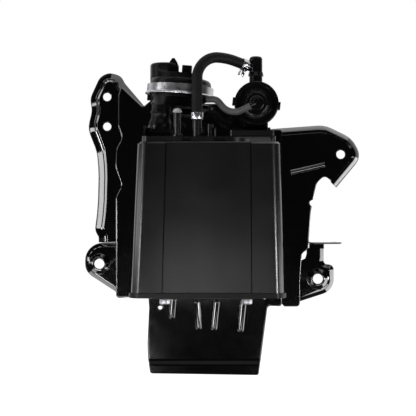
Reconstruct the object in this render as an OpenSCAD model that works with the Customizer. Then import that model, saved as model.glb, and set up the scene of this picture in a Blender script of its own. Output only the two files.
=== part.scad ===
// Charcoal canister on its stamped steel bracket, with a leak-check pump, a round vapour valve,
// two hoses and their clips.
// Millimetres. X to the right, Y to the rear, Z up. Places below are measured from the rear face of
// the back plate, on the middle plane of the canister. The finished part is moved at the end, so that
// its origin is the hole in the lower left ear, at the rear face of that ear's raised pad.

/* [Canister case] */
// Level of the case's lower edge
base_z = -88; // [-100:1:-76]
// Height of the case, from its lower edge to its roof
case_h = 156.5; // [130:0.5:190]
// Depth of the case, front to rear
case_d = 100; // [85:1:130]
// Middle plane to the left side, at the base
case_base_left = 80; // [70:1:95]
// Middle plane to the right side, at the base
case_base_right = 79; // [70:1:95]
// Middle plane to the left side, at the roof
case_top_left = 73; // [65:1:90]
// Middle plane to the right side, at the roof
case_top_right = 75; // [65:0.5:90]
// Radius of the upright corners
case_corner_r = 11; // [6:1:18]
// Chamfer round the roof
case_edge = 2; // [1:0.5:4]
// Wall of the case
wall = 2.5; // [2:0.1:4]
// Thickness of the roof
roof_t = 3; // [2:0.1:5]
// Clearance between the base cover and the shelf's upright flange
shelf_gap = 0.8; // [0.3:0.1:3]
// Width of each moulded pad that rests on the back plate
pad_w = 12; // [6:1:24]
// Middle plane to the left edge of the sunk front panel
panel_left = 45.5; // [30:0.5:60]
// Middle plane to the right edge of the sunk front panel
panel_right = 45; // [30:0.5:60]
// Depth of the sunk front panel
panel_sink = 1.2; // [0.4:0.1:1.8]

/* [Head] */
// Height of the deck above the roof
deck_h = 6; // [4:0.5:10]
// Distance of the deck's edge inside the case
deck_inset = 2.5; // [1:0.5:6]
// Depth of the two notches in the deck's front edge
notch_d = 9; // [5:0.5:12]
// Centre of the left notch
notch_left_x = -22; // [-26:0.5:-18]
// Width of the left notch
notch_left_w = 9; // [6:0.5:11]
// Centre of the right notch
notch_right_x = 12.5; // [8:0.5:18]
// Width of the right notch
notch_right_w = 12; // [6:0.5:16]
// Row of ports, measured back from the case's front
port_row = 14; // [12:0.5:20]
// Position of the tank port
tank_port_x = -32; // [-36:0.5:-29]
// Radius of the tank port
tank_port_r = 3.7; // [3:0.1:5]
// Bore radius of the tank port
tank_bore_r = 2.4; // [1.6:0.1:2.8]
// Height of the tank port above the deck
tank_port_h = 30; // [20:1:40]
// Position of the purge port, which the large hose is pushed on
purge_port_x = -11.5; // [-14:0.5:-9]
// Height of the purge port's stem above the deck
purge_stem_h = 17; // [12:0.5:22]
// Position of the blind stub
stub_x = 2; // [0:0.5:4]
// Height of the blind stub above the deck
stub_h = 13; // [8:0.5:18]
// Height of the valve's seat above the deck
seat_h = 6; // [4:0.5:10]
// Width of the valve's seat
seat_w = 46; // [36:1:48]

/* [Charcoal beds] */
// Position of the wall between the two beds
partition_x = -38; // [-41:0.5:-37]
// Height of the ribs that hold the filters off the roof
plenum_h = 5.5; // [3:0.5:10]
// Thickness of each filter pad
filter_t = 8; // [4:0.5:14]
// Thickness of the grid plates
grid_t = 3; // [2:0.5:5]
// Radius of each hole in the grid plates
grid_hole_r = 3; // [1.5:0.5:4]
// Pitch of the holes in the grid plates
grid_pitch = 13; // [10:0.5:20]
// Height of the springs under the grid plates
spring_h = 18; // [17:0.5:26]
// Mean radius of those springs
spring_r = 9.5; // [7:0.5:11]
// Wire radius of those springs
spring_wire_r = 0.9; // [0.6:0.1:1.3]
// Clearance between the beds and the case
bed_gap = 0.3; // [0.1:0.1:0.8]

/* [Base cover] */
// Thickness of the cover
cover_t = 5; // [4:0.5:8]
// Distance that the cover stands out round the case
cover_lip = 2.2; // [1:0.2:4]
// Height of the rib that guides the case
cover_rib_h = 4; // [2:0.5:6]
// Clearance between that rib and the case
cover_fit = 0.3; // [0.1:0.1:0.6]

/* [Base bolts] */
// Thread diameter
bolt_d = 6; // [5:1:8]
// Position of the left bolt
bolt_left_x = -45.5; // [-52:0.5:-40]
// Position of the right bolt
bolt_right_x = 41; // [36:0.5:50]
// Distance of the bolts behind the case's front
bolt_back = 26; // [20:1:34]
// Width across the flats of the hexagon
bolt_af = 10; // [8:0.5:13]
// Height of the hexagon
bolt_head_h = 4.7; // [3:0.1:7]
// Radius of the bolt's flange
bolt_flange_r = 7; // [6.5:0.5:9]
// Thickness of the bolt's flange
bolt_flange_t = 1.5; // [1:0.1:2.5]
// Length of the threaded inserts
insert_l = 11; // [8:0.5:12]
// Wall of the threaded inserts
insert_wall = 1.6; // [1:0.1:2.5]
// Clearance between thread and insert
thread_gap = 0.05; // [0.02:0.01:0.1]

/* [Bracket] */
// Sheet thickness
sheet_t = 2; // [1.5:0.1:3]
// Distance from the canister's middle to the left wing's outermost point
left_reach = 137; // [135:0.5:142]
// Distance from the canister's middle to the right wing's tip
right_reach = 175; // [172:0.5:185]
// Radius of the two bolt holes in the left wing
wing_hole_r = 4.5; // [3.5:0.1:5.5]
// Position of the two holes in the left wing
wing_holes_x = -114; // [-116:0.5:-112]
// Level of the lower hole in the left wing
wing_hole_low_z = 92; // [88:0.5:96]
// Distance between the two holes in the left wing
wing_hole_pitch = 33.5; // [28:0.5:36]
// Radius of the hole in the right wing
right_hole_r = 4.8; // [4:0.1:6]
// Position of the hole in the right wing
right_hole_x = 150; // [147:0.5:153]
// Level of the hole in the right wing
right_hole_z = 60.5; // [57:0.5:63]
// Radius of the holes in the two lower ears
ear_hole_r = 5.5; // [4:0.1:6.5]
// Position of the left ear's hole
left_ear_x = -122.5; // [-125:0.5:-120]
// Level of the left ear's hole
left_ear_z = -63; // [-66:0.5:-60]
// Position of the right ear's hole
right_ear_x = 124; // [122:0.5:126]
// Level of the right ear's hole
right_ear_z = -80; // [-83:0.5:-78]
// Height of the raised pad round an ear's hole
ear_rise = 4; // [2:0.5:6]
// Radius of that pad's flat top
ear_pad_r = 7.5; // [7:0.5:10]
// Radius where the pad's slope meets the ear
ear_dish_r = 11.9; // [11:0.1:12.5]
// Level where the guard's lip bends back
lip_z = -169; // [-176:1:-150]
// Inner radius of that bend and of the one back
lip_r = 9; // [6:1:24]
// Angle of that bend
lip_angle = 32; // [10:1:50]
// Angle that is left after the bend back
lip_rest = 5; // [0:1:8]
// Radius of the pressed beads on the guard
bead_r = 4.2; // [3.4:0.1:6]
// Height of the pressed beads
bead_rise = 1.8; // [0.8:0.1:2.4]
// Level of the clip tab
tab_z = -38; // [-46:0.5:-36]
// Distance that the clip tab reaches forward
tab_reach = 24; // [16:1:34]
// Length of the clip tab along the bracket
tab_w = 35; // [31:0.5:40]
// Distance from the right ear's hole to the tab's left end
tab_left = 10.5; // [8:0.5:12]
// Distance from the right ear's hole to the left edge of the tab's arm
arm_left = 12.5; // [8:0.5:14]
// Distance from the right ear's hole to the right edge of the tab's arm
arm_right = 7.5; // [6.5:0.5:9]
// Radius of the hole in the clip tab
tab_hole_r = 3.5; // [2.5:0.1:4.5]
// Distance from the shelf's front edge to the case's front
shelf_back = 10; // [4:1:18]
// Distance from the canister's middle to the shelf's left end
shelf_left = 62; // [56:1:66]
// Distance from the canister's middle to the shelf's right end
shelf_right = 60; // [52:1:64]
// Height of the shelf's upright flange
shelf_flange_h = 22; // [14:1:34]

/* [Pump] */
// Position of the pump's neck
pump_x = -51.5; // [-53:0.5:-51]
// Distance of the pump behind the case's front
pump_back = 53; // [52:0.5:56]
// Lean of the pump to the right
pump_lean = 4.5; // [0:0.5:6]
// Height of the pump's socket above the deck
socket_h = 13.5; // [11:0.5:18]
// Radius of the neck where it enters the socket
neck_r = 10.4; // [9:0.1:10.8]
// Clearance between neck and socket
neck_gap = 0.1; // [0.05:0.05:0.3]
// Length of the neck in the socket
neck_in = 8; // [6:0.5:10]
// Distance from the neck to the pump's middle
drum_x = 18.5; // [14:0.5:21]
// Radius of the pump's joint flanges
joint_r = 34.6; // [31:0.2:36]
// Height of the joint above the socket
joint_h = 39.5; // [32:0.5:42]
// Thickness of each joint flange
joint_t = 3.5; // [3:0.1:5]
// Depth of the housing's bowl below the joint
bowl_d = 17; // [14:0.5:19]
// Height of the low drum above the joint
drum_h = 13; // [10:0.5:15]
// Height of the middle step above the joint
step_h = 17; // [15.5:0.5:21]
// Height of the motor tower above the joint
tower_h = 28.5; // [25:0.5:36]
// Radius of the motor tower
tower_r = 15.5; // [13:0.5:16.5]
// Height of the horn on the motor tower
horn_h = 5; // [2:0.5:8]
// Height of the connector's shroud above the middle step
plug_h = 10.5; // [8.5:0.5:13]
// Wall of the pump's shells
pump_wall = 2.2; // [1.6:0.1:3]
// Thickness of the steel band
band_t = 1.2; // [0.8:0.1:2]
// Height of the connector's pins above its floor
pin_h = 3; // [2:0.5:5]

/* [Valve] */
// Position of the valve's axis
valve_x = 51; // [46:0.5:56]
// Height of the valve's axis above its seat
valve_rise = 29.5; // [28:0.5:36]
// Distance of the valve's joint behind the case's front
valve_back = 28; // [26:0.5:33]
// Radius of the valve's cover
valve_r = 23.4; // [22.4:0.2:26]
// Radius of the upright tube
tube_r = 7; // [5.5:0.1:7.6]
// Height of the tube's top above the valve's axis
tube_h = 51.5; // [44:0.5:58]
// Height where the large hose joins the tube, above the axis
tube_joint_h = 38; // [33:0.5:41]
// Thickness of the diaphragm's rim
diaphragm_t = 1.2; // [0.8:0.1:2]

/* [Hoses] */
// Outer radius of the large hose
hose_r = 5.6; // [4.6:0.1:6]
// Bore radius of the large hose
hose_bore_r = 3; // [2.5:0.1:3.4]
// Radius of its first bend
hose_bend_r = 23.5; // [18:0.5:26]
// Radius of its second bend
hose_sweep_r = 73; // [50:1:80]
// Slope of its end at the valve
hose_fall = 17; // [15:1:24]
// Length of the nipples inside the large hose
nipple_l = 14; // [10:0.5:16]
// Clearance between a nipple and its hose
nipple_gap = 0.05; // [0.02:0.01:0.1]
// Outer radius of the small hose
line_r = 3.5; // [2.4:0.1:3.8]
// Bore radius of the small hose
line_bore_r = 1.5; // [1:0.1:1.8]
// Thickness of the spring clips
clip_t = 0.9; // [0.6:0.1:1.4]
// Width of the spring clips
clip_w = 7; // [5:0.5:10]

/* [Hidden] */
$fn = 48;
rear_gap = sheet_t + cover_lip + shelf_gap;
front_y = -sheet_t - rear_gap - case_d;
rear_y = -sheet_t - rear_gap;
top_z = base_z + case_h;
deck_z = top_z + deck_h;
seat_z = deck_z + seat_h;
room_z = top_z - roof_t;
port_y = front_y + port_row;
cover_z = base_z - cover_t;
shelf_z = cover_z - sheet_t;
bolt_y = front_y + bolt_back;
bolt_r = bolt_d / 2;
insert_bore_r = bolt_r + thread_gap;
insert_r = insert_bore_r + insert_wall;
boss_r = insert_r + 3;
boss_top = cover_z + insert_l + 2;
grid_z = base_z + spring_h;
part_low_z = max(grid_z - 1, boss_top + 1);
bed_low_z = grid_z + grid_t + filter_t;
bed_top_z = room_z - plenum_h - filter_t;
main_springs = [[2, -48], [46, -42]];
vent_springs = [[-57, -44]];
pump_y = front_y + pump_back;
pump_z = deck_z + socket_h;
drum_r = joint_r - 1.7;
tower_x = drum_x - drum_r + tower_r + 0.5;
plug_x = tower_x + tower_r + 1.6;
valve_y = front_y + valve_back;
valve_z = seat_z + valve_rise;
cup_r = valve_r - 3.1;
cup_d = 16;
tube_y = valve_y + 12;
joint_in = (tube_r + 0.3 + hose_r * sin(hose_fall)) / cos(hose_fall);
hose_start = [purge_port_x, port_y, deck_z + purge_stem_h];
hose_plan = atan2(tube_y - port_y, valve_x - purge_port_x);
hose_span = norm([tube_y - port_y, valve_x - purge_port_x]) - joint_in * cos(hose_fall);
hose_end_z = valve_z + tube_joint_h + joint_in * sin(hose_fall);
hose_last = (hose_span - hose_bend_r - hose_sweep_r * sin(hose_fall)) / cos(hose_fall);
hose_rise = hose_end_z - hose_start[2] - hose_bend_r + hose_sweep_r * (1 - cos(hose_fall))
    + hose_last * sin(hose_fall);
hose_run = [["go", hose_rise], ["turn", hose_bend_r, -90],
    ["turn", hose_sweep_r, -hose_fall], ["go", hose_last]];
spout_y = valve_y - 17;
line_tip = [29.5 + drum_x, -joint_r + 6.5, joint_h - joint_t - band_t - 1.2 - line_r];
line_start = pump_point(line_tip);
line_up = 24;
line_down = 50;
line_end = [valve_x - 6.5, spout_y, valve_z - 3.6];
line_plan = atan2(line_end[1] - line_start[1], line_end[0] - line_start[0]);
line_span = norm([line_end[0] - line_start[0], line_end[1] - line_start[1]]);
line_drop_r = 10;
line_lift_r = 18;
line_first = 6;
line_fall_w = -line_drop_r * (1 - cos(line_down)) - line_lift_r * (cos(line_up) - cos(line_down));
line_fall_u = line_first + line_drop_r * sin(line_down)
    + line_lift_r * (sin(line_up) + sin(line_down));
line_need_u = line_span - line_fall_u;
line_need_w = line_end[2] - line_start[2] - line_fall_w;
line_det = cos(line_down) * sin(line_up) + sin(line_down) * cos(line_up);
line_mid = (line_need_u * sin(line_up) - line_need_w * cos(line_up)) / line_det;
line_last = (line_need_w * cos(line_down) + line_need_u * sin(line_down)) / line_det;
line_run = [["go", line_first], ["turn", line_drop_r, -line_down], ["go", line_mid],
    ["turn", line_lift_r, line_up + line_down], ["go", line_last]];
fold_x = right_ear_x - tab_left + 1;
fold_w = tab_left - 1 + arm_right;
plastic = "#1c1d20";
steel_paint = "#0d0e10";
rubber = "#2b2c2e";
zinc = "#b9bbb8";

// Outlines: a list of [x, y, corner radius] becomes a list of points
function unit(v) = v / norm(v);
function flat(p) = [p[0], p[1]];
function spin(v, a) = [v[0] * cos(a) - v[1] * sin(a), v[0] * sin(a) + v[1] * cos(a)];
function corner(a, b, c, r) =
    let (u = unit(a - b), v = unit(c - b), half = acos(max(-1, min(1, u * v))) / 2)
    r == 0 || half > 89.9 ? [b] :
    let (middle = b + unit(u + v) * r / sin(half), first = b + u * r / tan(half) - middle,
        side = cross(u, v) < 0 ? 1 : -1, sweep = 180 - 2 * half, n = max(1, ceil(sweep / 12)))
    [for (i = [0 : n]) middle + spin(first, side * sweep * i / n)];
function rounded(p, closed = true) = let (n = len(p))
    [for (i = [0 : n - 1]) each
        !closed && (i == 0 || i == n - 1) ? [flat(p[i])]
        : corner(flat(p[(i + n - 1) % n]), flat(p[i]), flat(p[(i + 1) % n]), p[i][2])];
function box_outline(x0, x1, y0, y1, r) =
    rounded([[x0, y0, r], [x1, y0, r], [x1, y1, r], [x0, y1, r]]);
function right_of(a, b) = let (t = unit(b - a)) [t[1], -t[0]];
function inward(p) = let (n = len(p)) [for (i = [0 : n - 1])
    let (m = i == 0 ? right_of(p[0], p[1]) : right_of(p[i - 1], p[i]),
        q = i == n - 1 ? m : right_of(p[i], p[i + 1])) (m + q) / (1 + m * q)];
function inset_path(p, d) = let (m = inward(p)) [for (i = [0 : len(p) - 1]) p[i] + m[i] * d];
function pump_point(p) = [pump_x + p[0] * cos(pump_lean) + p[2] * sin(pump_lean), pump_y + p[1],
    pump_z - p[0] * sin(pump_lean) + p[2] * cos(pump_lean)];

// A flat sheet, drawn in X and Z, from depth y0 to y0 + t
module sheet(y0, t) translate([0, y0 + t, 0]) rotate([90, 0, 0]) linear_extrude(t) children();

// A pressed rim along an open outline: each step is [inset, depth], the same on both faces
module rim(path, steps, t) {
    n = len(path);
    m = len(steps);
    lines = [for (s = steps) inset_path(path, s[0])];
    points = [for (i = [0 : n - 1]) for (back = [0, t]) for (j = [0 : m - 1])
        [lines[j][i][0], steps[j][1] + back, lines[j][i][1]]];
    loop = concat([for (j = [0 : m - 1]) j], [for (j = [m - 1 : -1 : 0]) m + j]);
    faces = concat(
        [for (i = [0 : n - 2]) for (q = [0 : 2 * m - 1])
            let (a = loop[q], b = loop[(q + 1) % (2 * m)], r = i * 2 * m)
            each [[r + a, r + 2 * m + a, r + b], [r + b, r + 2 * m + a, r + 2 * m + b]]],
        [for (j = [0 : m - 2]) [j, j + 1, m + j + 1, m + j]],
        [for (j = [0 : m - 2]) let (r = (n - 1) * 2 * m) [r + j + 1, r + j, r + m + j, r + m + j + 1]]);
    polyhedron(points, faces);
}

// A run starts at the origin along X: straight runs and turns in the XY plane, left is up.
// Its stations are [place, heading].
function stations(run, i = 0, p = [0, 0], a = 0) = i == len(run) ? [[p, a]]
    : run[i][0] == "go"
    ? concat([[p, a]], stations(run, i + 1, p + run[i][1] * [cos(a), sin(a)], a))
    : let (t = run[i][2], arm = (t < 0 ? -1 : 1) * run[i][1], c = p + arm * [-sin(a), cos(a)],
        n = ceil(abs(t) / 9))
    concat([for (k = [0 : n - 1]) [c + arm * [sin(a + t * k / n), -cos(a + t * k / n)], a + t * k / n]],
        stations(run, i + 1, c + arm * [sin(a + t), -cos(a + t)], a + t));
// A hose along a run, with its bore clear of the circle ri
module pipe(run, ro, ri) {
    s = stations(run);
    n = len(s);
    k = 20;
    points = [for (i = [0 : n - 1]) for (r = [ro, ri / cos(180 / k)]) for (j = [0 : k - 1])
        let (b = 360 * j / k, p = s[i][0], a = s[i][1])
        [p[0] - sin(a) * r * cos(b), p[1] + cos(a) * r * cos(b), r * sin(b)]];
    faces = concat(
        [for (i = [0 : n - 2]) for (j = [0 : k - 1])
            let (a = 2 * k * i + j, b = 2 * k * i + (j + 1) % k, c = a + 2 * k, d = b + 2 * k)
            each [[a, c, b], [b, c, d], [a + k, b + k, c + k], [b + k, d + k, c + k]]],
        [for (j = [0 : k - 1]) let (b = (j + 1) % k) each [[j, b, j + k], [b, b + k, j + k]]],
        [for (j = [0 : k - 1]) let (e = 2 * k * (n - 1), a = e + j, b = e + (j + 1) % k)
            each [[a, a + k, b], [b, a + k, b + k]]]);
    polyhedron(points, faces);
}
module ring(ro, ri) difference() {
    circle(ro);
    circle(ri);
}

// Carries its children to the end of a run
module run_end(run, i = 0) {
    if (i < len(run)) {
        if (run[i][0] == "go") translate([run[i][1], 0, 0]) run_end(run, i + 1) children();
        else {
            side = run[i][2] < 0 ? -1 : 1;
            translate([0, side * run[i][1], 0]) rotate([0, 0, run[i][2]])
                translate([0, -side * run[i][1], 0]) run_end(run, i + 1) children();
        }
    } else children();
}

// A coil along Z from z = 0 to z = height
module coil(radius, wire, height, turns) {
    n = ceil(turns * 14);
    k = 6;
    points = [for (i = [0 : n]) for (j = [0 : k - 1])
        let (a = 360 * turns * i / n, b = 360 * j / k, d = radius + wire * cos(b))
        [d * cos(a), d * sin(a), wire + (height - 2 * wire) * i / n + wire * sin(b)]];
    faces = concat(
        [for (i = [0 : n - 1]) for (j = [0 : k - 1])
            let (a = i * k + j, b = i * k + (j + 1) % k)
            each [[a, b, a + k], [b, b + k, a + k]]],
        [for (j = [1 : k - 2]) [0, j + 1, j]],
        [for (j = [1 : k - 2]) [n * k, n * k + j, n * k + j + 1]]);
    polyhedron(points, faces);
}

// The case's outline at level z, drawn in by a distance
function case_left(z) = let (f = (z - base_z) / case_h)
    -case_base_left + (case_base_left - case_top_left) * f;
function case_right(z) = let (f = (z - base_z) / case_h)
    case_base_right + (case_top_right - case_base_right) * f;
function case_outline(z, d) = box_outline(case_left(z) + d, case_right(z) - d, front_y + d,
    rear_y - d, max(2, case_corner_r - d));
module case_slab(z, d, at = 0) translate([0, 0, z - at * 0.02]) linear_extrude(0.02)
    polygon(case_outline(z, d));
module room(d, z0, z1) hull() {
    case_slab(z0, wall + d);
    case_slab(z1, wall + d, 1);
}
// One bed's share of the room, between two levels
module bed(side, z0, z1) intersection() {
    room(bed_gap, z0, z1);
    edge = partition_x + side * (wall / 2 + bed_gap);
    translate([side > 0 ? edge : edge - 200, front_y, z0 - 1]) cube([200, case_d, z1 - z0 + 2]);
}
module at_pump() translate([pump_x, pump_y, pump_z]) rotate([0, pump_lean, 0]) children();
module at_drum() at_pump() translate([drum_x, 0, 0]) children();
// The motor tower stands upright on the leaning pump
module at_tower() translate([tower_x, 0, joint_h]) rotate([0, -pump_lean, 0]) children();
// Valve frame: local Z runs forward from the joint of the valve's two halves
module at_valve() translate([valve_x, valve_y, valve_z]) rotate([90, 0, 0]) children();
module at_hose() translate(hose_start) rotate([0, 0, hose_plan]) rotate([90, 0, 0])
    rotate([0, 0, 90]) children();
module at_line() translate(line_start) rotate([0, 0, line_plan]) rotate([90, 0, 0]) children();
module along_x() rotate([0, 90, 0]) children();

module canister_case() color(plastic) difference() {
    union() {
        hull() {
            case_slab(base_z, 0);
            case_slab(top_z - case_edge, 0);
            case_slab(top_z, case_edge, 1);
        }
        head();
        for (x = [case_left(top_z) + 22, case_right(top_z) - 22])
            translate([x - pad_w / 2, rear_y - 1, top_z - 60]) cube([pad_w, rear_gap + 1, 40]);
        for (x = [case_left(base_z) + 30, case_right(base_z) - 30])
            translate([x - pad_w / 2, rear_y - 1, base_z + shelf_flange_h + 8])
                cube([pad_w, rear_gap + 1, 20]);
    }
    difference() {
        room(0, base_z - 1, room_z);
        translate([partition_x - wall / 2, front_y, part_low_z]) cube([wall, case_d, case_h]);
        for (x = [-58, -18, 10, 40, 62]) translate([x - 1, front_y, room_z - plenum_h])
            cube([2, case_d, plenum_h + 1]);
    }
    // Sunk front panel, which follows the sides' draft
    translate([0, front_y + panel_sink, 0]) rotate([90, 0, 0]) linear_extrude(panel_sink + 1)
        polygon([[-panel_left - 2.3, base_z - 1], [panel_right + 0.5, base_z - 1],
            [panel_right - 0.5, deck_z + 1], [-panel_left + 2, deck_z + 1]]);
    translate([tank_port_x, port_y, room_z - 1]) cylinder(h = tank_port_h + 40, r = tank_bore_r);
    translate([purge_port_x, port_y, room_z - 1])
        cylinder(h = purge_stem_h + 60, r = hose_bore_r - nipple_gap - 1);
    at_pump() {
        translate([0, 0, -neck_in - 0.4]) cylinder(h = neck_in + 1, r = neck_r + neck_gap);
        translate([0, 0, -neck_in - 22]) cylinder(h = 30, r = neck_r - 3);
    }
}

module head() {
    difference() {
        translate([0, 0, top_z - 1]) linear_extrude(deck_h + 1)
            polygon(case_outline(top_z, case_edge + deck_inset));
        for (n = [[notch_left_x, notch_left_w], [notch_right_x, notch_right_w]])
            translate([n[0] - n[1] / 2, front_y - 1, top_z])
                cube([n[1], notch_d + case_edge + deck_inset + 1 - 4, deck_h + 1]);
    }
    // Pump socket with its ribs
    at_pump() translate([0, 0, -socket_h - 2]) cylinder(h = socket_h + 2, r = neck_r + 3.2);
    translate([pump_x - 13, pump_y - 17, deck_z - 1]) linear_extrude(socket_h - 3)
        polygon(box_outline(0, 26, 0, 34, 3));
    for (i = [0 : 2]) translate([pump_x - 14.5, pump_y - 18.5, deck_z + 1.2 + i * (socket_h - 5.5) / 3])
        linear_extrude(1.6) polygon(box_outline(0, 29, 0, 37, 4));
    // Seat of the valve
    translate([valve_x - seat_w / 2 - 5.5, 0, deck_z - 1]) linear_extrude(seat_h + 1)
        polygon(box_outline(0, seat_w, valve_y - 22, valve_y + 34, 3));
    // Two cheeks that guide the valve's foot
    for (side = [-1, 1]) translate([valve_x + side * (foot_w / 2 + foot_gap + 1.25) - 1.25,
        foot_y0 + 2, seat_z - 1]) cube([2.5, foot_d - 4, 6]);
    // Tank port with its domed head
    translate([tank_port_x, port_y, deck_z - 1]) rotate_extrude() polygon(concat([[0, 0],
        [tank_port_r + 1.6, 0], [tank_port_r + 1.6, 3], [tank_port_r, 4], [tank_port_r, tank_port_h - 4.4]],
        [for (a = [0 : 12 : 60]) [(tank_port_r + 1.2) * cos(a), tank_port_h - 3.6 + 4.6 * sin(a)]],
        [[0, tank_port_h - 3.6 + 4.6 * sin(60)]]));
    // Purge port: a stem and the nipple inside the hose
    translate([purge_port_x, port_y, deck_z - 1]) {
        cylinder(h = purge_stem_h + 1, r = hose_r - 0.8);
        cylinder(h = purge_stem_h + 1 + nipple_l, r = hose_bore_r - nipple_gap);
    }
    // Blind stub and two small ribs beside it
    translate([stub_x, port_y + 2, deck_z - 1]) cylinder(h = stub_h + 1, r = 3.2);
    translate([stub_x + 4.6, port_y - 1, deck_z - 1]) cube([2, 8, stub_h - 2]);
    translate([case_left(top_z) + case_edge + deck_inset + 1, port_y + 4, deck_z - 1])
        cube([2, 40, stub_h]);
}

module base_cover() color(plastic) difference() {
    union() {
        translate([0, 0, cover_z]) linear_extrude(cover_t) polygon(case_outline(base_z, -cover_lip));
        translate([0, 0, base_z - 1]) linear_extrude(cover_rib_h + 1) difference() {
            polygon(case_outline(base_z, wall + cover_fit));
            polygon(case_outline(base_z, wall + cover_fit + 2));
        }
        for (x = [bolt_left_x, bolt_right_x]) translate([x, bolt_y, cover_z])
            cylinder(h = boss_top - cover_z, r = boss_r);
        for (p = concat(main_springs, vent_springs)) translate([p[0], p[1], base_z - 1])
            cylinder(h = 4, r = spring_r - spring_wire_r - 0.6);
    }
    for (x = [bolt_left_x, bolt_right_x]) translate([x, bolt_y, cover_z - 1])
        cylinder(h = insert_l + 1, r = insert_r);
    // Underside sunk between the rim and the bolt bosses
    translate([0, 0, cover_z - 1]) linear_extrude(2.2) difference() {
        polygon(case_outline(base_z, 7));
        translate([-case_base_left, bolt_y - 14]) square([case_base_left + case_base_right, 28]);
        translate([-case_base_left, rear_y - 40]) square([case_base_left + case_base_right, 12]);
    }
}

module charcoal_main() color("#141312") bed(1, bed_low_z, bed_top_z);
module charcoal_vent() color("#141312") bed(-1, bed_low_z, bed_top_z);
module filter_main_top() color("#cfcabd") bed(1, bed_top_z, bed_top_z + filter_t);
module filter_vent_top() color("#cfcabd") bed(-1, bed_top_z, bed_top_z + filter_t);
module filter_main_low() color("#cfcabd") bed(1, grid_z + grid_t, bed_low_z);
module filter_vent_low() color("#cfcabd") bed(-1, grid_z + grid_t, bed_low_z);
module grid_main() color(plastic) grid(1, partition_x + 14, case_right(grid_z) - 14);
module grid_vent() color(plastic) grid(-1, case_left(grid_z) + 14, partition_x - 10);
module grid(side, x0, x1) difference() {
    bed(side, grid_z, grid_z + grid_t);
    for (x = [x0 : grid_pitch : x1]) for (y = [front_y + 16 : grid_pitch : rear_y - 14])
        translate([x, y, grid_z - 1]) cylinder(h = grid_t + 2, r = grid_hole_r, $fn = 16);
}
module bed_springs() color(zinc) for (p = concat(main_springs, vent_springs))
    translate([p[0], p[1], base_z]) coil(spring_r, spring_wire_r, spring_h, 4);

// Bracket outlines, as [x, z, corner radius]
plate_outline = [[-98, 137.5, 2], [-101.5, 127.5, 12], [-101.5, 92, 14], [-97, 79, 9],
    [-104, 66, 12], [-104.5, 45, 20], [-97.5, 25, 8], [-104, 12.5, 8], [-104, -102, 4],
    [-84.5, -100.5, 30], [-67.5, -99.5, 4], [-66.5, -112, 20], [-68.5, -155, 60],
    [-67.5, -173, 40], [-65.5, -187.5, 3], [57.5, -189.5, 3], [59.5, -173, 40], [67.5, -110.5, 4],
    [83.5, -111, 3], [83.5, 89, 3], [61, 89, 6], [41.5, 107, 6], [21, 107.5, 6], [11, 118, 6],
    [-34, 118, 6], [-40.5, 123, 6], [-63, 123, 6], [-73.5, 114, 4]];
function shifted(p, dx, dz) = [for (v = p) [v[0] + dx, v[1] + dz, v[2]]];
left_rim = concat(shifted([[12.5, -39.2, 0], [12.5, -33, 5], [8, -26, 14], [11.5, 0, 150], [12.5, 41, 100],
    [10.5, 63.5, 40], [0, 90.5, 25], [5, 111, 25], [2.5, 124.5, 18], [13.5, 148.5, 14],
    [23.5, 154.5, 14], [38.5, 150.5, 12], [42, 142.5, 17]], -left_reach, 0), [[-72, 115.5, 0]]);
right_rim = concat([[66, 89.6, 0]], shifted([[-42, 94.5, 30], [-11, 79.5, 30], [0, 58, 16], [-29, 23, 0]],
    right_reach, 0));
right_hook = shifted([[-36.5, 31, 0], [-43, 36.5, 5]], right_reach, 0);
left_ear_rim = shifted([[24.5, -36.4, 0], [-17, -9.4, 17], [-17, 23.5, 20], [24.5, 23.5, 0]],
    left_ear_x, left_ear_z);
right_ear_rim = shifted([[arm_right, 35, 0], [arm_right, 16.5, 4], [18.9, 15.5, 6], [18.9, -13.7, 18],
    [-24, -27.7, 0]], right_ear_x, right_ear_z);
// Rims, from the cut edge inward, as [inset, depth]
wing_steps = [[0, 9], [0.5, 7.8], [6.4, 2.3], [7.2, 1.8], [8.3, 1.6], [9, 1.3], [10.4, 0.2], [11.2, 0]];
right_steps = [[0, 9], [0.4, 7.6], [4.6, 2.4], [5.4, 1.8], [6.4, 1.5], [8.4, 0.2], [9.2, 0]];
ear_steps = [[0, 5], [0.5, 4.2], [3.8, 0.8], [4.5, 0.2], [5, 0]];
beads = [[[-39, -104], [-40.5, -122]], [[-12.5, -107], [-10.5, -134]], [[10, -107], [7, -135]],
    [[40, -107], [37, -137]]];
function last_inset(steps) = steps[len(steps) - 1][0];
function deeper(steps, d) = [for (s = steps) [s[0], s[1] + d]];

// A bead along a straight line on the sheet: a round bar with round ends
module bar(a, b, r) {
    l = norm(b - a);
    translate([a[0], bead_r - bead_rise - sheet_t, a[1]])
        rotate([0, atan2(b[0] - a[0], b[1] - a[1]), 0])
        rotate_extrude($fn = 24) polygon(concat([[0, -r]],
            [for (i = [1 : 5]) r * [sin(18 * i), -cos(18 * i)]],
            [for (i = [0 : 4]) [0, l] + r * [cos(18 * i), sin(18 * i)]], [[0, l + r]]));
}

module back_plate() color(steel_paint) difference() {
    union() {
        intersection() {
            sheet(-sheet_t - 1, 60) polygon(rounded(plate_outline));
            translate([-150, 0, 0]) rotate([90, 0, 90]) linear_extrude(300) polygon(concat(
                [[-sheet_t, 160]], lip_side(lip_r + sheet_t, lip_r),
                backward(lip_side(lip_r, lip_r + sheet_t)), [[0, 160]]));
        }
        intersection() {
            for (b = beads) bar(b[0], b[1], bead_r);
            translate([-100, -20, -160]) cube([200, 20 - sheet_t / 2, 100]);
        }
    }
    for (b = beads) bar(b[0], b[1], bead_r - bead_rise);
    // Drain hole in the guard
    translate([-54, 0, -112.5]) rotate([90, 0, 0]) cylinder(h = 10, r = 2, center = true);
}
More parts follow.
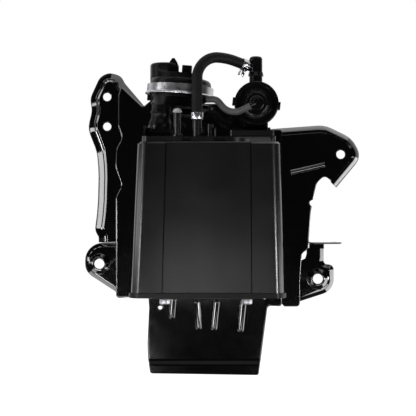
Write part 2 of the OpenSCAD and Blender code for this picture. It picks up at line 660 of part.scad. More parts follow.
// One face of the guard's lip, downward: a bend back, a bend the other way, and a straight end
function lip_side(r, q) = let (d = 2 * lip_r + sheet_t, n = 6,
    middle = [lip_r - d * cos(lip_angle), lip_z - d * sin(lip_angle)])
    concat([for (i = [0 : n]) let (a = lip_angle * i / n) [lip_r - r * cos(a), lip_z - r * sin(a)]],
        [for (i = [1 : n]) let (a = lip_angle + (lip_rest - lip_angle) * i / n)
            middle + q * [cos(a), sin(a)]],
        [middle + q * [cos(lip_rest), sin(lip_rest)] + 60 * [sin(lip_rest), -cos(lip_rest)]]);
function backward(p) = [for (i = [len(p) - 1 : -1 : 0]) p[i]];

module left_wing() color(steel_paint) {
    path = rounded(left_rim, false);
    difference() {
        union() {
            rim(path, wing_steps, sheet_t);
            sheet(0, sheet_t) polygon(concat(inset_path(path, last_inset(wing_steps)),
                [[-84, 100], [-88, 84], [-88, -39.2]]));
        }
        for (i = [0, 1]) translate([wing_holes_x, 0, wing_hole_low_z + i * wing_hole_pitch])
            rotate([90, 0, 0]) cylinder(h = 3 * sheet_t, r = wing_hole_r, center = true);
    }
}

module right_wing() color(steel_paint) {
    path = rounded(right_rim, false);
    edge = rounded(concat(right_hook, [[123.5, 29, 12], [119, 11, 30], [116, -8, 60],
        [113.5, -46, 8], [106.4, -51.5, 5], [105.5, -60, 10], [104, -88, 30], [104, -111.5, 4],
        [86, -111.5, 0]]), false);
    difference() {
        union() {
            rim(path, right_steps, sheet_t);
            sheet(0, sheet_t) polygon(concat(inset_path(path, last_inset(right_steps)), edge,
                [[80, -104], [62, -100], [62, 78]]));
            // Pressed rib across the wing
            intersection() {
                translate([93, sheet_t / 2 + 1.2, 40]) rotate([0, 77, 0]) cylinder(h = 40, r = 3.6);
                translate([80, -6, 20]) cube([80, 6 + sheet_t / 2, 50]);
            }
        }
        translate([right_hole_x, 0, right_hole_z]) rotate([90, 0, 0])
            cylinder(h = 3 * sheet_t, r = right_hole_r, center = true);
        // Locating notch in the edge
        translate([118.5, 0, 5.5]) rotate([90, 0, 0]) cylinder(h = 3 * sheet_t, r = 3.4, center = true);
    }
}

// The raised pad round an ear's hole, as far as the flat round it
module ear_pad(y0) rotate([-90, 0, 0]) translate([0, 0, y0]) rotate_extrude() polygon(concat(
    [[ear_hole_r, -ear_rise], [ear_pad_r, -ear_rise], [ear_pad_r + 0.8, 0.4 - ear_rise],
        [ear_dish_r - 0.6, -0.4], [ear_dish_r, 0]],
    [[ear_dish_r, sheet_t], [ear_dish_r - 0.6, sheet_t - 0.4], [ear_pad_r + 0.8, sheet_t + 0.4 - ear_rise],
        [ear_pad_r, sheet_t - ear_rise], [ear_hole_r, sheet_t - ear_rise]]));

module left_ear() color(steel_paint) {
    path = rounded(left_ear_rim, false);
    difference() {
        union() {
            rim(path, ear_steps, sheet_t);
            sheet(0, sheet_t) polygon(concat(inset_path(path, last_inset(ear_steps)),
                [[-88, -44], [-88, -92]]));
        }
        translate([left_ear_x, 0, left_ear_z]) rotate([90, 0, 0])
            cylinder(h = 40, r = ear_dish_r, center = true);
    }
    translate([left_ear_x, 0, left_ear_z]) ear_pad(0);
}

module right_ear() color(steel_paint) {
    path = rounded(right_ear_rim, false);
    difference() {
        union() {
            rim(path, deeper(ear_steps, sheet_t), sheet_t);
            sheet(sheet_t, sheet_t) polygon(concat(inset_path(path, last_inset(ear_steps)),
                [[92, -102], [92, -76], [98, -66], [105, -59.5], [right_ear_x - arm_left - 1.5, -57],
                    [right_ear_x - arm_left, -52], [right_ear_x - arm_left, -45]]));
            // Arm and clip tab, folded forward
            translate([fold_x, 0, 0]) rotate([90, 0, 90]) linear_extrude(fold_w)
                polygon(concat([[sheet_t, right_ear_z + 34], [2 * sheet_t, right_ear_z + 34]],
                    [for (a = [0 : 18 : 90])
                        [2 * sheet_t, tab_z] + sheet_t * 1.6 * [cos(a) - 1, sin(a) - 1]],
                    [[0, tab_z], [0, tab_z - sheet_t]], [[sheet_t, tab_z - sheet_t]]));
            translate([right_ear_x - tab_left, -tab_reach, tab_z - sheet_t]) linear_extrude(sheet_t)
                polygon(box_outline(0, tab_w, 0, tab_reach, 5));
            translate([fold_x, -4, tab_z - sheet_t]) cube([fold_w, 5, sheet_t]);
        }
        translate([right_ear_x, 0, right_ear_z]) rotate([90, 0, 0])
            cylinder(h = 40, r = ear_dish_r, center = true);
        translate([right_ear_x - tab_left + tab_w - tab_hole_r - 4, -tab_reach / 2, tab_z])
            cylinder(h = 3 * sheet_t, r = tab_hole_r, center = true);
    }
    translate([right_ear_x, 0, right_ear_z]) ear_pad(sheet_t);
}

module shelf() color(steel_paint) difference() {
    union() {
        translate([0, 0, shelf_z]) linear_extrude(sheet_t) polygon(box_outline(-shelf_left, shelf_right,
            front_y + shelf_back, -sheet_t, 4));
        translate([-shelf_left, -2 * sheet_t, shelf_z])
            cube([shelf_left + shelf_right, sheet_t, sheet_t + shelf_flange_h]);
    }
    for (x = [bolt_left_x, bolt_right_x]) translate([x, bolt_y, shelf_z - 1])
        cylinder(h = sheet_t + 2, r = bolt_r + 0.4);
}

module base_bolts() color(zinc) for (x = [bolt_left_x, bolt_right_x]) translate([x, bolt_y, shelf_z]) {
    translate([0, 0, -bolt_flange_t]) cylinder(h = bolt_flange_t, r = bolt_flange_r);
    translate([0, 0, -bolt_flange_t - bolt_head_h])
        cylinder(h = bolt_head_h, r = bolt_af / sqrt(3), $fn = 6);
    translate([0, 0, -0.5]) cylinder(h = sheet_t + insert_l - 0.5, r = bolt_r);
}
module inserts() color("#b08d4a") for (x = [bolt_left_x, bolt_right_x]) translate([x, bolt_y, cover_z])
    difference() {
        cylinder(h = insert_l, r = insert_r);
        translate([0, 0, -1]) cylinder(h = insert_l + 2, r = insert_bore_r);
    }

// Pump: local Z runs up from the socket's top, along the leaning neck
neck_seal_z = -neck_in / 2;
seal_r = 1.15;
module pump_housing() color(plastic) at_pump() difference() {
    union() {
        rotate_extrude() polygon([[0, -neck_in], [neck_r, -neck_in], [neck_r, neck_seal_z - seal_r],
            [neck_r - 2 * seal_r + neck_gap, neck_seal_z - seal_r],
            [neck_r - 2 * seal_r + neck_gap, neck_seal_z + seal_r], [neck_r, neck_seal_z + seal_r],
            [neck_r, 0], [neck_r + 2.4, 0], [neck_r + 2.4, 3], [neck_r + 0.6, 8], [neck_r + 0.6, 13],
            [neck_r + 1.8, 13.6], [neck_r + 1.8, 15.4], [neck_r + 0.6, 16], [neck_r + 0.6, joint_h - 14],
            [0, joint_h - 14]]);
        hull() {
            translate([drum_x * 0.7, 0, joint_h - bowl_d]) cylinder(h = 1, r = joint_r * 0.62, $fn = 36);
            translate([drum_x, 0, joint_h - bowl_d / 2]) cylinder(h = 1, r = joint_r - 3, $fn = 36);
        }
        translate([drum_x, 0, joint_h - bowl_d / 2 + 0.5])
            cylinder(h = bowl_d / 2 - 0.5, r = joint_r - 2.8, $fn = 72);
        translate([drum_x, 0, joint_h - joint_t]) cylinder(h = joint_t, r = joint_r);
        // Lug under the band, at the left
        translate([drum_x - joint_r, -7, joint_h - joint_t - band_t - 8]) cube([6, 6, 6.5]);
        // Nipple for the small hose
        translate(line_tip) rotate([0, -pump_lean, 0]) rotate([0, 0, line_plan]) along_x() {
            translate([0, 0, -20]) cylinder(h = 20 + line_first, r = line_bore_r - nipple_gap);
            translate([0, 0, -24]) cylinder(h = 24, r = line_r - 0.3);
        }
    }
    hull() {
        translate([drum_x * 0.7, 0, joint_h - bowl_d + pump_wall])
            cylinder(h = 1, r = joint_r * 0.62 - pump_wall, $fn = 36);
        translate([drum_x, 0, joint_h + 0.5]) cylinder(h = 1, r = joint_r - 5.8, $fn = 36);
    }
    translate([0, 0, -neck_in - 1]) cylinder(h = joint_h, r = neck_r - 3.4);
    translate([drum_x, 0, joint_h - 2 * seal_r]) rotate_extrude()
        translate([joint_r - 2.6 - 2 * seal_r, 0]) square([2 * seal_r, 4]);
}

module pump_cap() color("#232427") at_pump() difference() {
    union() {
        translate([drum_x, 0, joint_h]) rotate_extrude() polygon([[0, 0], [joint_r, 0], [joint_r, joint_t],
            [drum_r, joint_t], [drum_r, drum_h - 5], [drum_r - 0.8, drum_h - 2.4],
            [drum_r - 2.6, drum_h - 0.7], [drum_r - 5.2, drum_h], [0, drum_h]]);
        // Middle step
        intersection() {
            translate([drum_x, 0, joint_h]) cylinder(h = step_h, r = joint_r - 4);
            translate([4, -50, joint_h]) cube([drum_x + 19, 100, step_h]);
        }
        // Motor tower
        at_tower() rotate_extrude() polygon([[0, 3], [tower_r, 3],
            [tower_r, tower_h - 3], [tower_r - 0.6, tower_h - 1.2], [tower_r - 2, tower_h - 0.2],
            [tower_r - 4, tower_h], [0, tower_h]]);
        // Horn on the tower
        at_tower() translate([0, -3, tower_h]) rotate([90, 0, 0]) linear_extrude(5) polygon([[5.3, -5],
            [tower_r - 1, -5], [tower_r - 1, -1], [13.4, 1.2], [11, horn_h], [8.4, horn_h], [5.3, 0.5]]);
        // Connector shroud
        translate([plug_x, -9, joint_h + step_h - 1]) linear_extrude(plug_h + 1)
            polygon(box_outline(0, 10.6, 0, 18, 2));
    }
    translate([drum_x, 0, joint_h - 1]) cylinder(h = drum_h + 1 - pump_wall, r = joint_r - 5.8);
    at_tower() translate([0, 0, -1]) cylinder(h = tower_h + 1 - pump_wall, r = tower_r - pump_wall);
    translate([plug_x + 1.5, -7.5, joint_h + step_h + 1.5]) cube([7.6, 15, plug_h]);
}

// Steel band that hooks over both joint flanges, open at the rear
module clamp_band() color(zinc) at_drum() rotate([0, 0, 100]) rotate_extrude(angle = 340) {
    r = joint_r + 0.1;
    low = joint_h - joint_t - 0.1;
    high = joint_h + joint_t + 0.1;
    polygon([[r - 1.5, high], [r, high], [r, low], [r - 1.5, low], [r - 1.5, low - band_t],
        [r + 1.4, low - band_t], [r + 2.6, low - band_t - 0.8], [r + 2.9, low - band_t + 0.2],
        [r + band_t, low + 0.9], [r + band_t, high + band_t], [r - 1.5, high + band_t]]);
}
module cap_seal() color("#151515") at_drum() translate([0, 0, joint_h - seal_r]) rotate_extrude()
    translate([joint_r - 2.6 - seal_r, 0]) circle(seal_r, $fn = 24);
module neck_seal() color("#151515") at_pump() translate([0, 0, neck_seal_z]) rotate_extrude()
    translate([neck_r + neck_gap - seal_r, 0]) circle(seal_r, $fn = 24);
module pump_motor() color("#8d9094") at_pump() at_tower() translate([0, 0, 3])
    difference() {
        cylinder(h = tower_h - 3 - pump_wall, r = tower_r - pump_wall - 0.3);
        translate([0, 0, -1]) cylinder(h = 4, r = 4);
    }
module pump_filter() color("#cfcabd") at_pump() translate([drum_x + 13, 0, joint_h + 2.5])
    cylinder(h = drum_h - pump_wall - 2.5, r = 12);
module connector_pins() color("#c9a24b") at_pump() for (i = [-1 : 1])
    translate([plug_x + 4.8, i * 4.4 - 0.8, joint_h + step_h + 1.5]) cube([0.8, 1.6, pin_h]);

// Valve: local Z runs forward from the joint of the two halves
foot_w = 25;
foot_d = 15;
foot_gap = 0.3;
foot_y0 = tube_y - foot_d / 2;
module valve_body() color(plastic) difference() {
    union() {
        at_valve() rotate_extrude() polygon([[0, -cup_d - 4], [cup_r - 3, -cup_d - 4], [cup_r, -cup_d - 1],
            [cup_r, -4], [valve_r - 0.7, -4], [valve_r - 0.7, 0], [0, 0]]);
        translate([valve_x, tube_y, valve_z]) cylinder(h = tube_h - 3, r = tube_r);
        translate([valve_x, tube_y, valve_z + tube_h - 3]) rotate_extrude() polygon([[0, 0], [tube_r, 0],
            [tube_r - 0.5, 1.6], [tube_r - 1.6, 2.6], [tube_r - 3, 3], [0, 3]]);
        translate([valve_x, tube_y, valve_z + tube_joint_h - 7.4])
            cylinder(h = 4, r1 = tube_r + 1.4, r2 = tube_r + 0.5);
        translate([valve_x - foot_w / 2, foot_y0, seat_z]) cube([foot_w, foot_d, valve_rise - cup_r + 6]);
        // Nipple for the large hose
        at_hose() run_end(hose_run) along_x() {
            translate([0, 0, -nipple_l]) cylinder(h = nipple_l + joint_in, r = hose_bore_r - nipple_gap);
            translate([0, 0, 0.2]) cylinder(h = joint_in, r = hose_r - 1);
        }
    }
    at_valve() translate([0, 0, -cup_d - 1]) cylinder(h = cup_d + 2, r = cup_r - 3);
    translate([valve_x, tube_y, valve_z + 5]) cylinder(h = tube_h - 8, r = tube_r - 2);
    at_hose() run_end(hose_run) along_x() translate([0, 0, -nipple_l - 1])
        cylinder(h = nipple_l + joint_in - 1, r = hose_bore_r - nipple_gap - 1);
    translate([valve_x - 9, foot_y0 - 1, seat_z + 3]) cube([18, foot_d - 2, 4]);
}

module valve_cover() color(plastic) difference() {
    union() {
        at_valve() rotate_extrude() polygon([[0, diaphragm_t], [valve_r, diaphragm_t], [valve_r, 5],
            [valve_r - 1, 6], [valve_r - 3.4, 6], [valve_r - 4, 3.6], [valve_r - 6.8, 3.6],
            [valve_r - 7.4, 5.4], [12.2, 5.8], [11.6, 9], [10.6, 10], [8, 10], [7.6, 11.6],
            [6.6, 12.4], [0, 12.6]]);
        // Clips that hook over the body's flange
        at_valve() for (a = [-6, 174]) rotate([0, 0, a]) translate([valve_r - 0.3, -4, -5.6])
            cube([2.2, 8, 10]);
        // Spout for the small hose
        at_valve() cylinder(h = valve_y - spout_y + 3, r = 3.6);
        at_line() run_end(line_run) along_x() {
            translate([0, 0, -line_first]) cylinder(h = line_first + 7, r = line_bore_r - nipple_gap);
            translate([0, 0, 0.2]) cylinder(h = 6, r = line_r - 0.3);
        }
    }
    at_valve() translate([0, 0, -1]) cylinder(h = 3.2, r = cup_r - 3);
    at_valve() translate([0, 0, 1]) cylinder(h = 7.4, r = 9.4);
    at_valve() translate([0, 0, 1]) cylinder(h = valve_y - spout_y, r = 1.4);
}
module valve_diaphragm() color("#3a3330") at_valve() rotate_extrude() polygon([[0, 0],
    [8, 0], [10, -1.6], [12.5, -1.6], [14.5, 0], [valve_r - 0.9, 0], [valve_r - 0.9, diaphragm_t],
    [13.8, diaphragm_t], [12, diaphragm_t - 1.8], [10.4, diaphragm_t - 1.8], [8.6, diaphragm_t],
    [0, diaphragm_t]]);
module valve_spring() color(zinc) at_valve() translate([0, 0, diaphragm_t])
    coil(6.4, 0.5, 8.4 - diaphragm_t, 3);

module vapour_hose() color(rubber) at_hose() pipe(hose_run, hose_r, hose_bore_r);
module sensing_hose() color("#55575a") at_line() pipe(line_run, line_r, line_bore_r);

// A spring clip round the hose: local X runs along the hose
module clip(turn) rotate([turn, 0, 0]) {
    rotate([90, 0, 90]) linear_extrude(clip_w) ring(hose_r + clip_t, hose_r);
    for (side = [-1, 1]) translate([clip_w / 2 - 1.4 + side * 1.7, side * 1.2 - clip_t / 2,
        hose_r + clip_t - 0.3]) cube([2.8, clip_t, 7]);
}
module hose_clip_low() color(zinc) at_hose() translate([1, 0, 0]) clip(200);
module hose_clip_high() color(zinc) at_hose() run_end(hose_run) translate([-clip_w - 1, 0, 0]) clip(90);

// Moves the part to its datum, the left ear's hole
module placed() translate([-left_ear_x, ear_rise - sheet_t, -left_ear_z]) children();

placed() canister_case();
placed() base_cover();
placed() charcoal_main();
placed() charcoal_vent();
placed() filter_main_top();
placed() filter_vent_top();
placed() filter_main_low();
placed() filter_vent_low();
placed() grid_main();
placed() grid_vent();
placed() bed_springs();
placed() back_plate();
placed() left_wing();
placed() left_ear();
placed() right_wing();
placed() right_ear();
placed() shelf();
placed() base_bolts();
placed() inserts();
placed() pump_housing();
placed() pump_cap();
placed() clamp_band();
placed() cap_seal();
placed() neck_seal();
placed() pump_motor();
placed() pump_filter();
placed() connector_pins();
placed() valve_body();
placed() valve_cover();
placed() valve_diaphragm();
placed() valve_spring();
placed() vapour_hose();
placed() hose_clip_low();
placed() hose_clip_high();
placed() sensing_hose();
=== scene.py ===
"""Charcoal canister on its stamped steel bracket: the looks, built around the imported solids.

Everything is in metres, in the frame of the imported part. Places that the part's source measures
from the canister's middle, in millimetres, go through place() to reach that frame.
"""
import math
from collections import namedtuple

import bmesh
import bpy
from mathutils import Matrix, Vector


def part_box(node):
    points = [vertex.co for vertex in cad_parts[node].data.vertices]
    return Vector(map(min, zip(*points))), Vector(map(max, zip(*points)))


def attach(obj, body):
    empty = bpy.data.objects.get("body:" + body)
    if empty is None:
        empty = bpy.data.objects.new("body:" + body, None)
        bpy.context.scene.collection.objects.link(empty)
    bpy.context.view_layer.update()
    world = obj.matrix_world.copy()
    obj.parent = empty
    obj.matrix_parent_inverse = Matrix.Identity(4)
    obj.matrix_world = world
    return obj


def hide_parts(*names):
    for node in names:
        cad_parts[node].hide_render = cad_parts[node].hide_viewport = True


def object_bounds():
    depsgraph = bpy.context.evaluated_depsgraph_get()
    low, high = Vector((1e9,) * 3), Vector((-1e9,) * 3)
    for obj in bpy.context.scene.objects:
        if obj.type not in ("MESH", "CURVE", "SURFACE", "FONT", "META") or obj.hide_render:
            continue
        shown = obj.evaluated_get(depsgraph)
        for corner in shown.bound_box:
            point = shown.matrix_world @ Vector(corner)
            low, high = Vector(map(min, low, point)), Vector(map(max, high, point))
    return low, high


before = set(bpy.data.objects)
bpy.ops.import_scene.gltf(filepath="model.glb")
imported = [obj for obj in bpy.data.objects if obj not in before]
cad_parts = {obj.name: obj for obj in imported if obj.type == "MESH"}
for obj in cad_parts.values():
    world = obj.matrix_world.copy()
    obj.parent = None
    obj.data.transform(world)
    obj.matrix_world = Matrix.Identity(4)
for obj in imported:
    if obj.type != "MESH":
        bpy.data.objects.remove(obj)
cad_low, cad_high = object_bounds()

MM = 0.001
BODY = "root"
# From the canister's middle, on the back plate's rear face, to the part's datum
DATUM = Vector((122.5, 2.0, 63.0))


def place(x, y, z):
    """A place measured from the canister's middle in millimetres, in the part's frame in metres."""
    return (Vector((x, y, z)) + DATUM) * MM


# Sizes and places below are in millimetres and degrees, unless they say otherwise

# Camera, level, in front of the canister's middle; it sees what is within the range, in metres
CAMERA_FROM = place(0.0, -1200.0, 0.0)
CAMERA_LENS = 91.9
CAMERA_SENSOR = 36.0
CAMERA_RANGE = (0.01, 50.0)

# A hose starts level or upright, turned in plan; its run is a list of lengths and (radius, turn) bends
Hose = namedtuple("Hose", "start plan upright run radius bore")
LARGE_HOSE = Hose(start=(-11.5, -93.0, 91.5), plan=22.5873, upright=True, radius=5.6, bore=3.0,
                  run=[43.1754, (23.5, -90.0), (73.0, -17.0), 14.5476])
SMALL_HOSE = Hose(start=(-1.28635, -82.1, 114.241), plan=-16.8874, upright=False, radius=3.5, bore=1.5,
                  run=[6.0, (10.0, -50.0), 4.95962, (18.0, 74.0), 10.8273])
# Spacing of a hose's points in bends and in straights, its sides, and its rolled ends
BEND_STEP, STRAIGHT_STEP = 4.0, 3.0
HOSE_SIDES = 48
HOSE_ROLL, HOSE_ROLL_ANGLE, HOSE_SMOOTH = 0.5, 60.0, 40.0

# Spring clips on the large hose: band, sheet, where they sit along the hose and how they are turned on it
CLIP_W, CLIP_T, CLIP_SHEET_T = 7.0, 0.9, 0.72
CLIP_LOW_AT, CLIP_HIGH_AT = 1.0, -8.0
CLIP_LOW_TURN, CLIP_HIGH_TURN = 157.0, 90.0
# A clip's ends: the angle where they cross, how far back they are cut into fingers, and how far they pass
CLIP_CROSS, CLIP_CUT, CLIP_PASS = 90.0, 60.0, 10.4
CLIP_FINGER_W = 2.1
# Bends of the tang at a finger's tip, each as its rise from the band and its lean across it
CLIP_TANG = [(2.0, 0.55), (4.6, 0.85), (6.6, 0.6)]
CLIP_BAND_STEPS, CLIP_FINGER_STEPS, CLIP_MERGE = 40, 10, 0.01
CLIP_ROLL, CLIP_ROLL_ANGLE, CLIP_SMOOTH = 0.18, 50.0, 35.0

# Bolts under the shelf: the first one's seat, their pitch and their sizes
BOLT_SEAT, BOLT_PITCH, BOLT_COUNT = (-45.5, -81.0, -95.0), 86.5, 2
FLANGE_R, FLANGE_H, HEAD_R, SHANK_R = 6.6, 2.0, 5.6, 2.9
# Shares of a bolt: the dome's end in the flange's radius, and the chamfer in the head's height and radius
DOME_SHARE, CHAMFER_H_SHARE, CHAMFER_R_SHARE = 0.72, 0.16, 0.86
FLANGE_SIDES, HEAD_SIDES, SHANK_SIDES = 48, 6, 32
BOLT_ROLL, BOLT_ROLL_ANGLE, BOLT_SMOOTH = 0.25, 30.0, 32.0

# Middle and radius of the tank port's domed head, which is painted pale as a painted highlight
PORT_HEAD, PORT_HEAD_R = (-32.0, -93.0, 102.0), 6.0
# Edges of the case's sunk front panel, where lines of painted shade are drawn, as (x, z) at the foot and at
# the head
PANEL_SHADE_LINES = [((-47.4, -89.0), (-43.1, 75.5)), ((45.1, -89.0), (44.1, 75.5))]
# Half a painted shade line's width and half its darkest part, and where the case's front ends and how soon
# the lines fade there
PANEL_SHADE_HALF, PANEL_SHADE_CORE, PANEL_SHADE_BEHIND, PANEL_SHADE_FADE = 0.6, 0.3, -104.5, 0.5

# Copies of solids: points closer than this, in metres, are merged, and faces as flat as this are joined
MERGE_DISTANCE, FLAT_ANGLE = 4e-6, 0.5
# Edges sharper than the first angle are rolled, and those sharper than the second aren't shaded smooth
EDGE_ANGLE, SMOOTH_ANGLE = 32.0, 38.0
# A face looks to the front where the Y of its normal is below this
FRONT_NORMAL = -0.7
NORMAL_WEIGHT = 60
# Rolled edges of the pressings, at the front and elsewhere, and the most corners of a face on an ear
PLATE_ROLL, PRESSING_ROLL, REAR_ROLL = 1.5, 0.9, 0.3
ROLL_SEGMENTS, PRESSING_SEGMENTS, PLATE_SEGMENTS = 2, 3, 4
EAR_CORNERS = 40

# Parts of a noise's range that the finishes spread out
TONE_SPAN, STREAK_SPAN, GLOSS_SPAN = (0.32, 0.68), (0.12, 0.38), (0.3, 0.7)
CHIP_SPAN, SINK_SPAN = (0.35, 0.65), (0.35, 0.65)
# Noise of drawn metal and of slow moulded walls, as detail and roughness
DRAWN_NOISE, SLOW_NOISE = (2.0, 0.6), (1.5, 0.4)
# Uneven gloss beside the patches of tone, chips along the edges (wear and painted highlight), grain, and
# drawn streaks in metres
GLOSS_RATIO, GLOSS_ROUGH = 2.7, 0.6
CHIP_SCALE, CHIP_DETAIL, CHIP_LEAST = 260.0, 4.0, 0.35
GRAIN_DETAIL = 2.0
STREAK_STRENGTH, STREAK_DEPTH = 0.25, 0.00003
# What is left of the gloss in a line of painted shade
PANEL_SHADE_GLOSS = 0.05
# How much bluer the greys are than neutral ones
GREY_BLUE = 1.04
# Inputs of a Mix node: its factor, and the pairs that it mixes
MIX_FACTOR, MIX_NUMBERS, MIX_COLOURS = 0, (2, 3), (6, 7)


def add(tree, kind, inputs=None, **settings):
    """A node with its settings and inputs; an input that is a socket is linked."""
    node = tree.nodes.new(kind)
    for key, value in settings.items():
        setattr(node, key, value)
    for key, value in (inputs or {}).items():
        if isinstance(value, bpy.types.NodeSocket):
            tree.links.new(value, node.inputs[key])
        else:
            node.inputs[key].default_value = value
    return node


def calc(tree, operation, *values):
    """A number worked out from numbers and sockets."""
    return add(tree, "ShaderNodeMath", dict(enumerate(values)), operation=operation).outputs[0]


def noise(tree, coords, scale, detail, rough=0.55, stretch=None):
    """Noise in object space; stretch squeezes the coordinates along each axis."""
    vector = coords
    if stretch:
        vector = add(tree, "ShaderNodeMapping", {"Vector": coords, "Scale": stretch}).outputs[0]
    inputs = {"Vector": vector, "Scale": scale, "Detail": detail, "Roughness": rough}
    return add(tree, "ShaderNodeTexNoise", inputs).outputs["Fac"]


def remap(tree, value, low, high, to_low=0.0, to_high=1.0):
    """A value moved from one range to another, and held inside it."""
    inputs = {"Value": value, "From Min": low, "From Max": high, "To Min": to_low, "To Max": to_high}
    return add(tree, "ShaderNodeMapRange", inputs).outputs[0]


def blend_colours(tree, factor, first, second):
    """A colour between two colours, each a socket or three numbers."""
    inputs = {MIX_FACTOR: factor}
    for key, colour in zip(MIX_COLOURS, (first, second)):
        inputs[key] = colour if isinstance(colour, bpy.types.NodeSocket) else (*colour, 1.0)
    return add(tree, "ShaderNodeMix", inputs, data_type="RGBA").outputs[2]


def bump(tree, height, strength, distance, normal=None):
    """A normal bent by a height, on top of an earlier normal where there is one."""
    inputs = {"Height": height, "Strength": strength, "Distance": distance}
    if normal is not None:
        inputs["Normal"] = normal
    return add(tree, "ShaderNodeBump", inputs).outputs[0]


def face_mark(tree, name):
    """The number that a piece's faces carry under a name."""
    return add(tree, "ShaderNodeAttribute", attribute_name=name).outputs["Fac"]


def panel_shade_mask(tree, coords, panel_shade_lines):
    """1 in the thin dark lines of painted shade in the inner corners of the sunk panel's edges across the
    case's front, 0 elsewhere.
    """
    axes = add(tree, "ShaderNodeSeparateXYZ", {"Vector": coords})
    fade_from, fade_to = place(0, PANEL_SHADE_BEHIND - PANEL_SHADE_FADE, 0).y, place(0, PANEL_SHADE_BEHIND, 0).y
    front = remap(tree, axes.outputs["Y"], fade_from, fade_to, 1.0, 0.0)
    nearest = None
    for (foot_x, foot_z), (head_x, head_z) in panel_shade_lines:
        foot, head = place(foot_x, 0, foot_z), place(head_x, 0, head_z)
        lean = (head.x - foot.x) / (head.z - foot.z)
        line = calc(tree, "MULTIPLY_ADD", axes.outputs["Z"], lean, foot.x - lean * foot.z)
        away = calc(tree, "ABSOLUTE", calc(tree, "SUBTRACT", axes.outputs["X"], line))
        nearest = away if nearest is None else calc(tree, "MINIMUM", nearest, away)
    inside = remap(tree, nearest, PANEL_SHADE_CORE * MM, PANEL_SHADE_HALF * MM, 1.0, 0.0)
    return calc(tree, "MULTIPLY", front, inside)


def patches(tree, coords, scale, detail, drawn):
    """Patches of tone from 0 to 1, broken up by the drawn streaks where there are any."""
    tone = noise(tree, coords, scale, detail)
    if drawn is None:
        return remap(tree, tone, *TONE_SPAN)
    return remap(tree, calc(tree, "MULTIPLY", tone, drawn), *STREAK_SPAN)


def edge_wear_and_highlight(tree, coords, paint, wear_and_highlight_colour, amount):
    """The paint, lightened in chips along the rolled edges: partly wear, partly a painted highlight."""
    chips = remap(tree, noise(tree, coords, CHIP_SCALE, CHIP_DETAIL), *CHIP_SPAN, CHIP_LEAST, 1.0)
    chipped = calc(tree, "MULTIPLY", face_mark(tree, "edge"), chips)
    return blend_colours(tree, calc(tree, "MULTIPLY", chipped, amount), paint, wear_and_highlight_colour)


def surface(tree, coords, waves, drawn, grain):
    """The normal of a surface with slow waves, drawn streaks and grain, or None where it has none."""
    normal = None
    if waves:
        scale, stretch, strength, distance = waves
        normal = bump(tree, noise(tree, coords, scale, *SLOW_NOISE, stretch), strength, distance)
    if drawn is not None:
        normal = bump(tree, drawn, STREAK_STRENGTH, STREAK_DEPTH, normal)
    if grain:
        scale, strength, distance = grain
        normal = bump(tree, noise(tree, coords, scale, GRAIN_DETAIL), strength, distance, normal)
    return normal


def finish(name, colour, light, rough, spread=0.06, metal=0.0, patch=45.0, detail=4.0,
           grain=(1800.0, 0.1, 0.0001), waves=None, streak=None, edge=None, pale=None, panel_shade_lines=None,
           sinks=None, coat=0.0, coat_rough=0.05, specular=0.5, sheen=0.0):
    """A finish with patches of tone between two colours, uneven gloss and surface grain.

    patch and detail belong to the patches' noise, and spread is how far the roughness varies. grain is
    (scale, strength, distance). waves is (scale, stretch, strength, distance) for slow unevenness, streak
    is (scale, stretch) for a drawn or brushed direction, edge is (colour, amount) for edges lightened partly
    by wear and partly as a painted highlight, and pale is the colour of a head painted paler as a painted
    highlight. The dark lines given for the case's front are painted shade in the inner corners of the sunk
    panel's edges, and sinks is (scale, stretch, least, most) for soft streaks in the gloss, as moulded walls
    have.
    """
    material = bpy.data.materials.new(name)
    material.use_nodes = True
    tree = material.node_tree
    tree.nodes.clear()
    coords = add(tree, "ShaderNodeTexCoord").outputs["Object"]
    drawn = noise(tree, coords, streak[0], *DRAWN_NOISE, streak[1]) if streak else None
    paint = blend_colours(tree, patches(tree, coords, patch, detail, drawn), colour, light)
    gloss = noise(tree, coords, patch * GLOSS_RATIO, detail, GLOSS_ROUGH)
    # Rolled edges lightened in chips, partly as wear and partly as a painted highlight
    if edge:
        paint = edge_wear_and_highlight(tree, coords, paint, *edge)
    # A head painted paler: a painted highlight
    if pale:
        paint = blend_colours(tree, face_mark(tree, "pale"), paint, pale)
    if sinks:
        scale, stretch, least, most = sinks
        sunk = noise(tree, coords, scale, *SLOW_NOISE, stretch)
        specular = remap(tree, sunk, *SINK_SPAN, specular * least, specular * most)
    # Dark lines with almost no gloss at the sunk panel's edges: painted shade in their inner corners
    if panel_shade_lines:
        panel_shade = panel_shade_mask(tree, coords, panel_shade_lines)
        paint = blend_colours(tree, panel_shade, paint, PANEL_SHADE_COLOUR)
        specular = calc(tree, "MULTIPLY", specular, remap(tree, panel_shade, 0.0, 1.0, 1.0, PANEL_SHADE_GLOSS))
    shader = add(tree, "ShaderNodeBsdfPrincipled", {
        "Base Color": paint, "Roughness": remap(tree, gloss, *GLOSS_SPAN, rough - spread, rough + spread),
        "Metallic": metal, "Specular IOR Level": specular, "Coat Weight": coat,
        "Coat Roughness": coat_rough, "Sheen Weight": sheen})
    normal = surface(tree, coords, waves, drawn, grain)
    if normal is not None:
        tree.links.new(normal, shader.inputs["Normal"])
    add(tree, "ShaderNodeOutputMaterial", {"Surface": shader.outputs[0]})
    return material


def grey(value):
    """A grey with a touch of blue."""
    return (value, value, value * GREY_BLUE)


# Colour of the lines of painted shade at the edges of the case's sunk front panel
PANEL_SHADE_COLOUR = grey(0.0005)
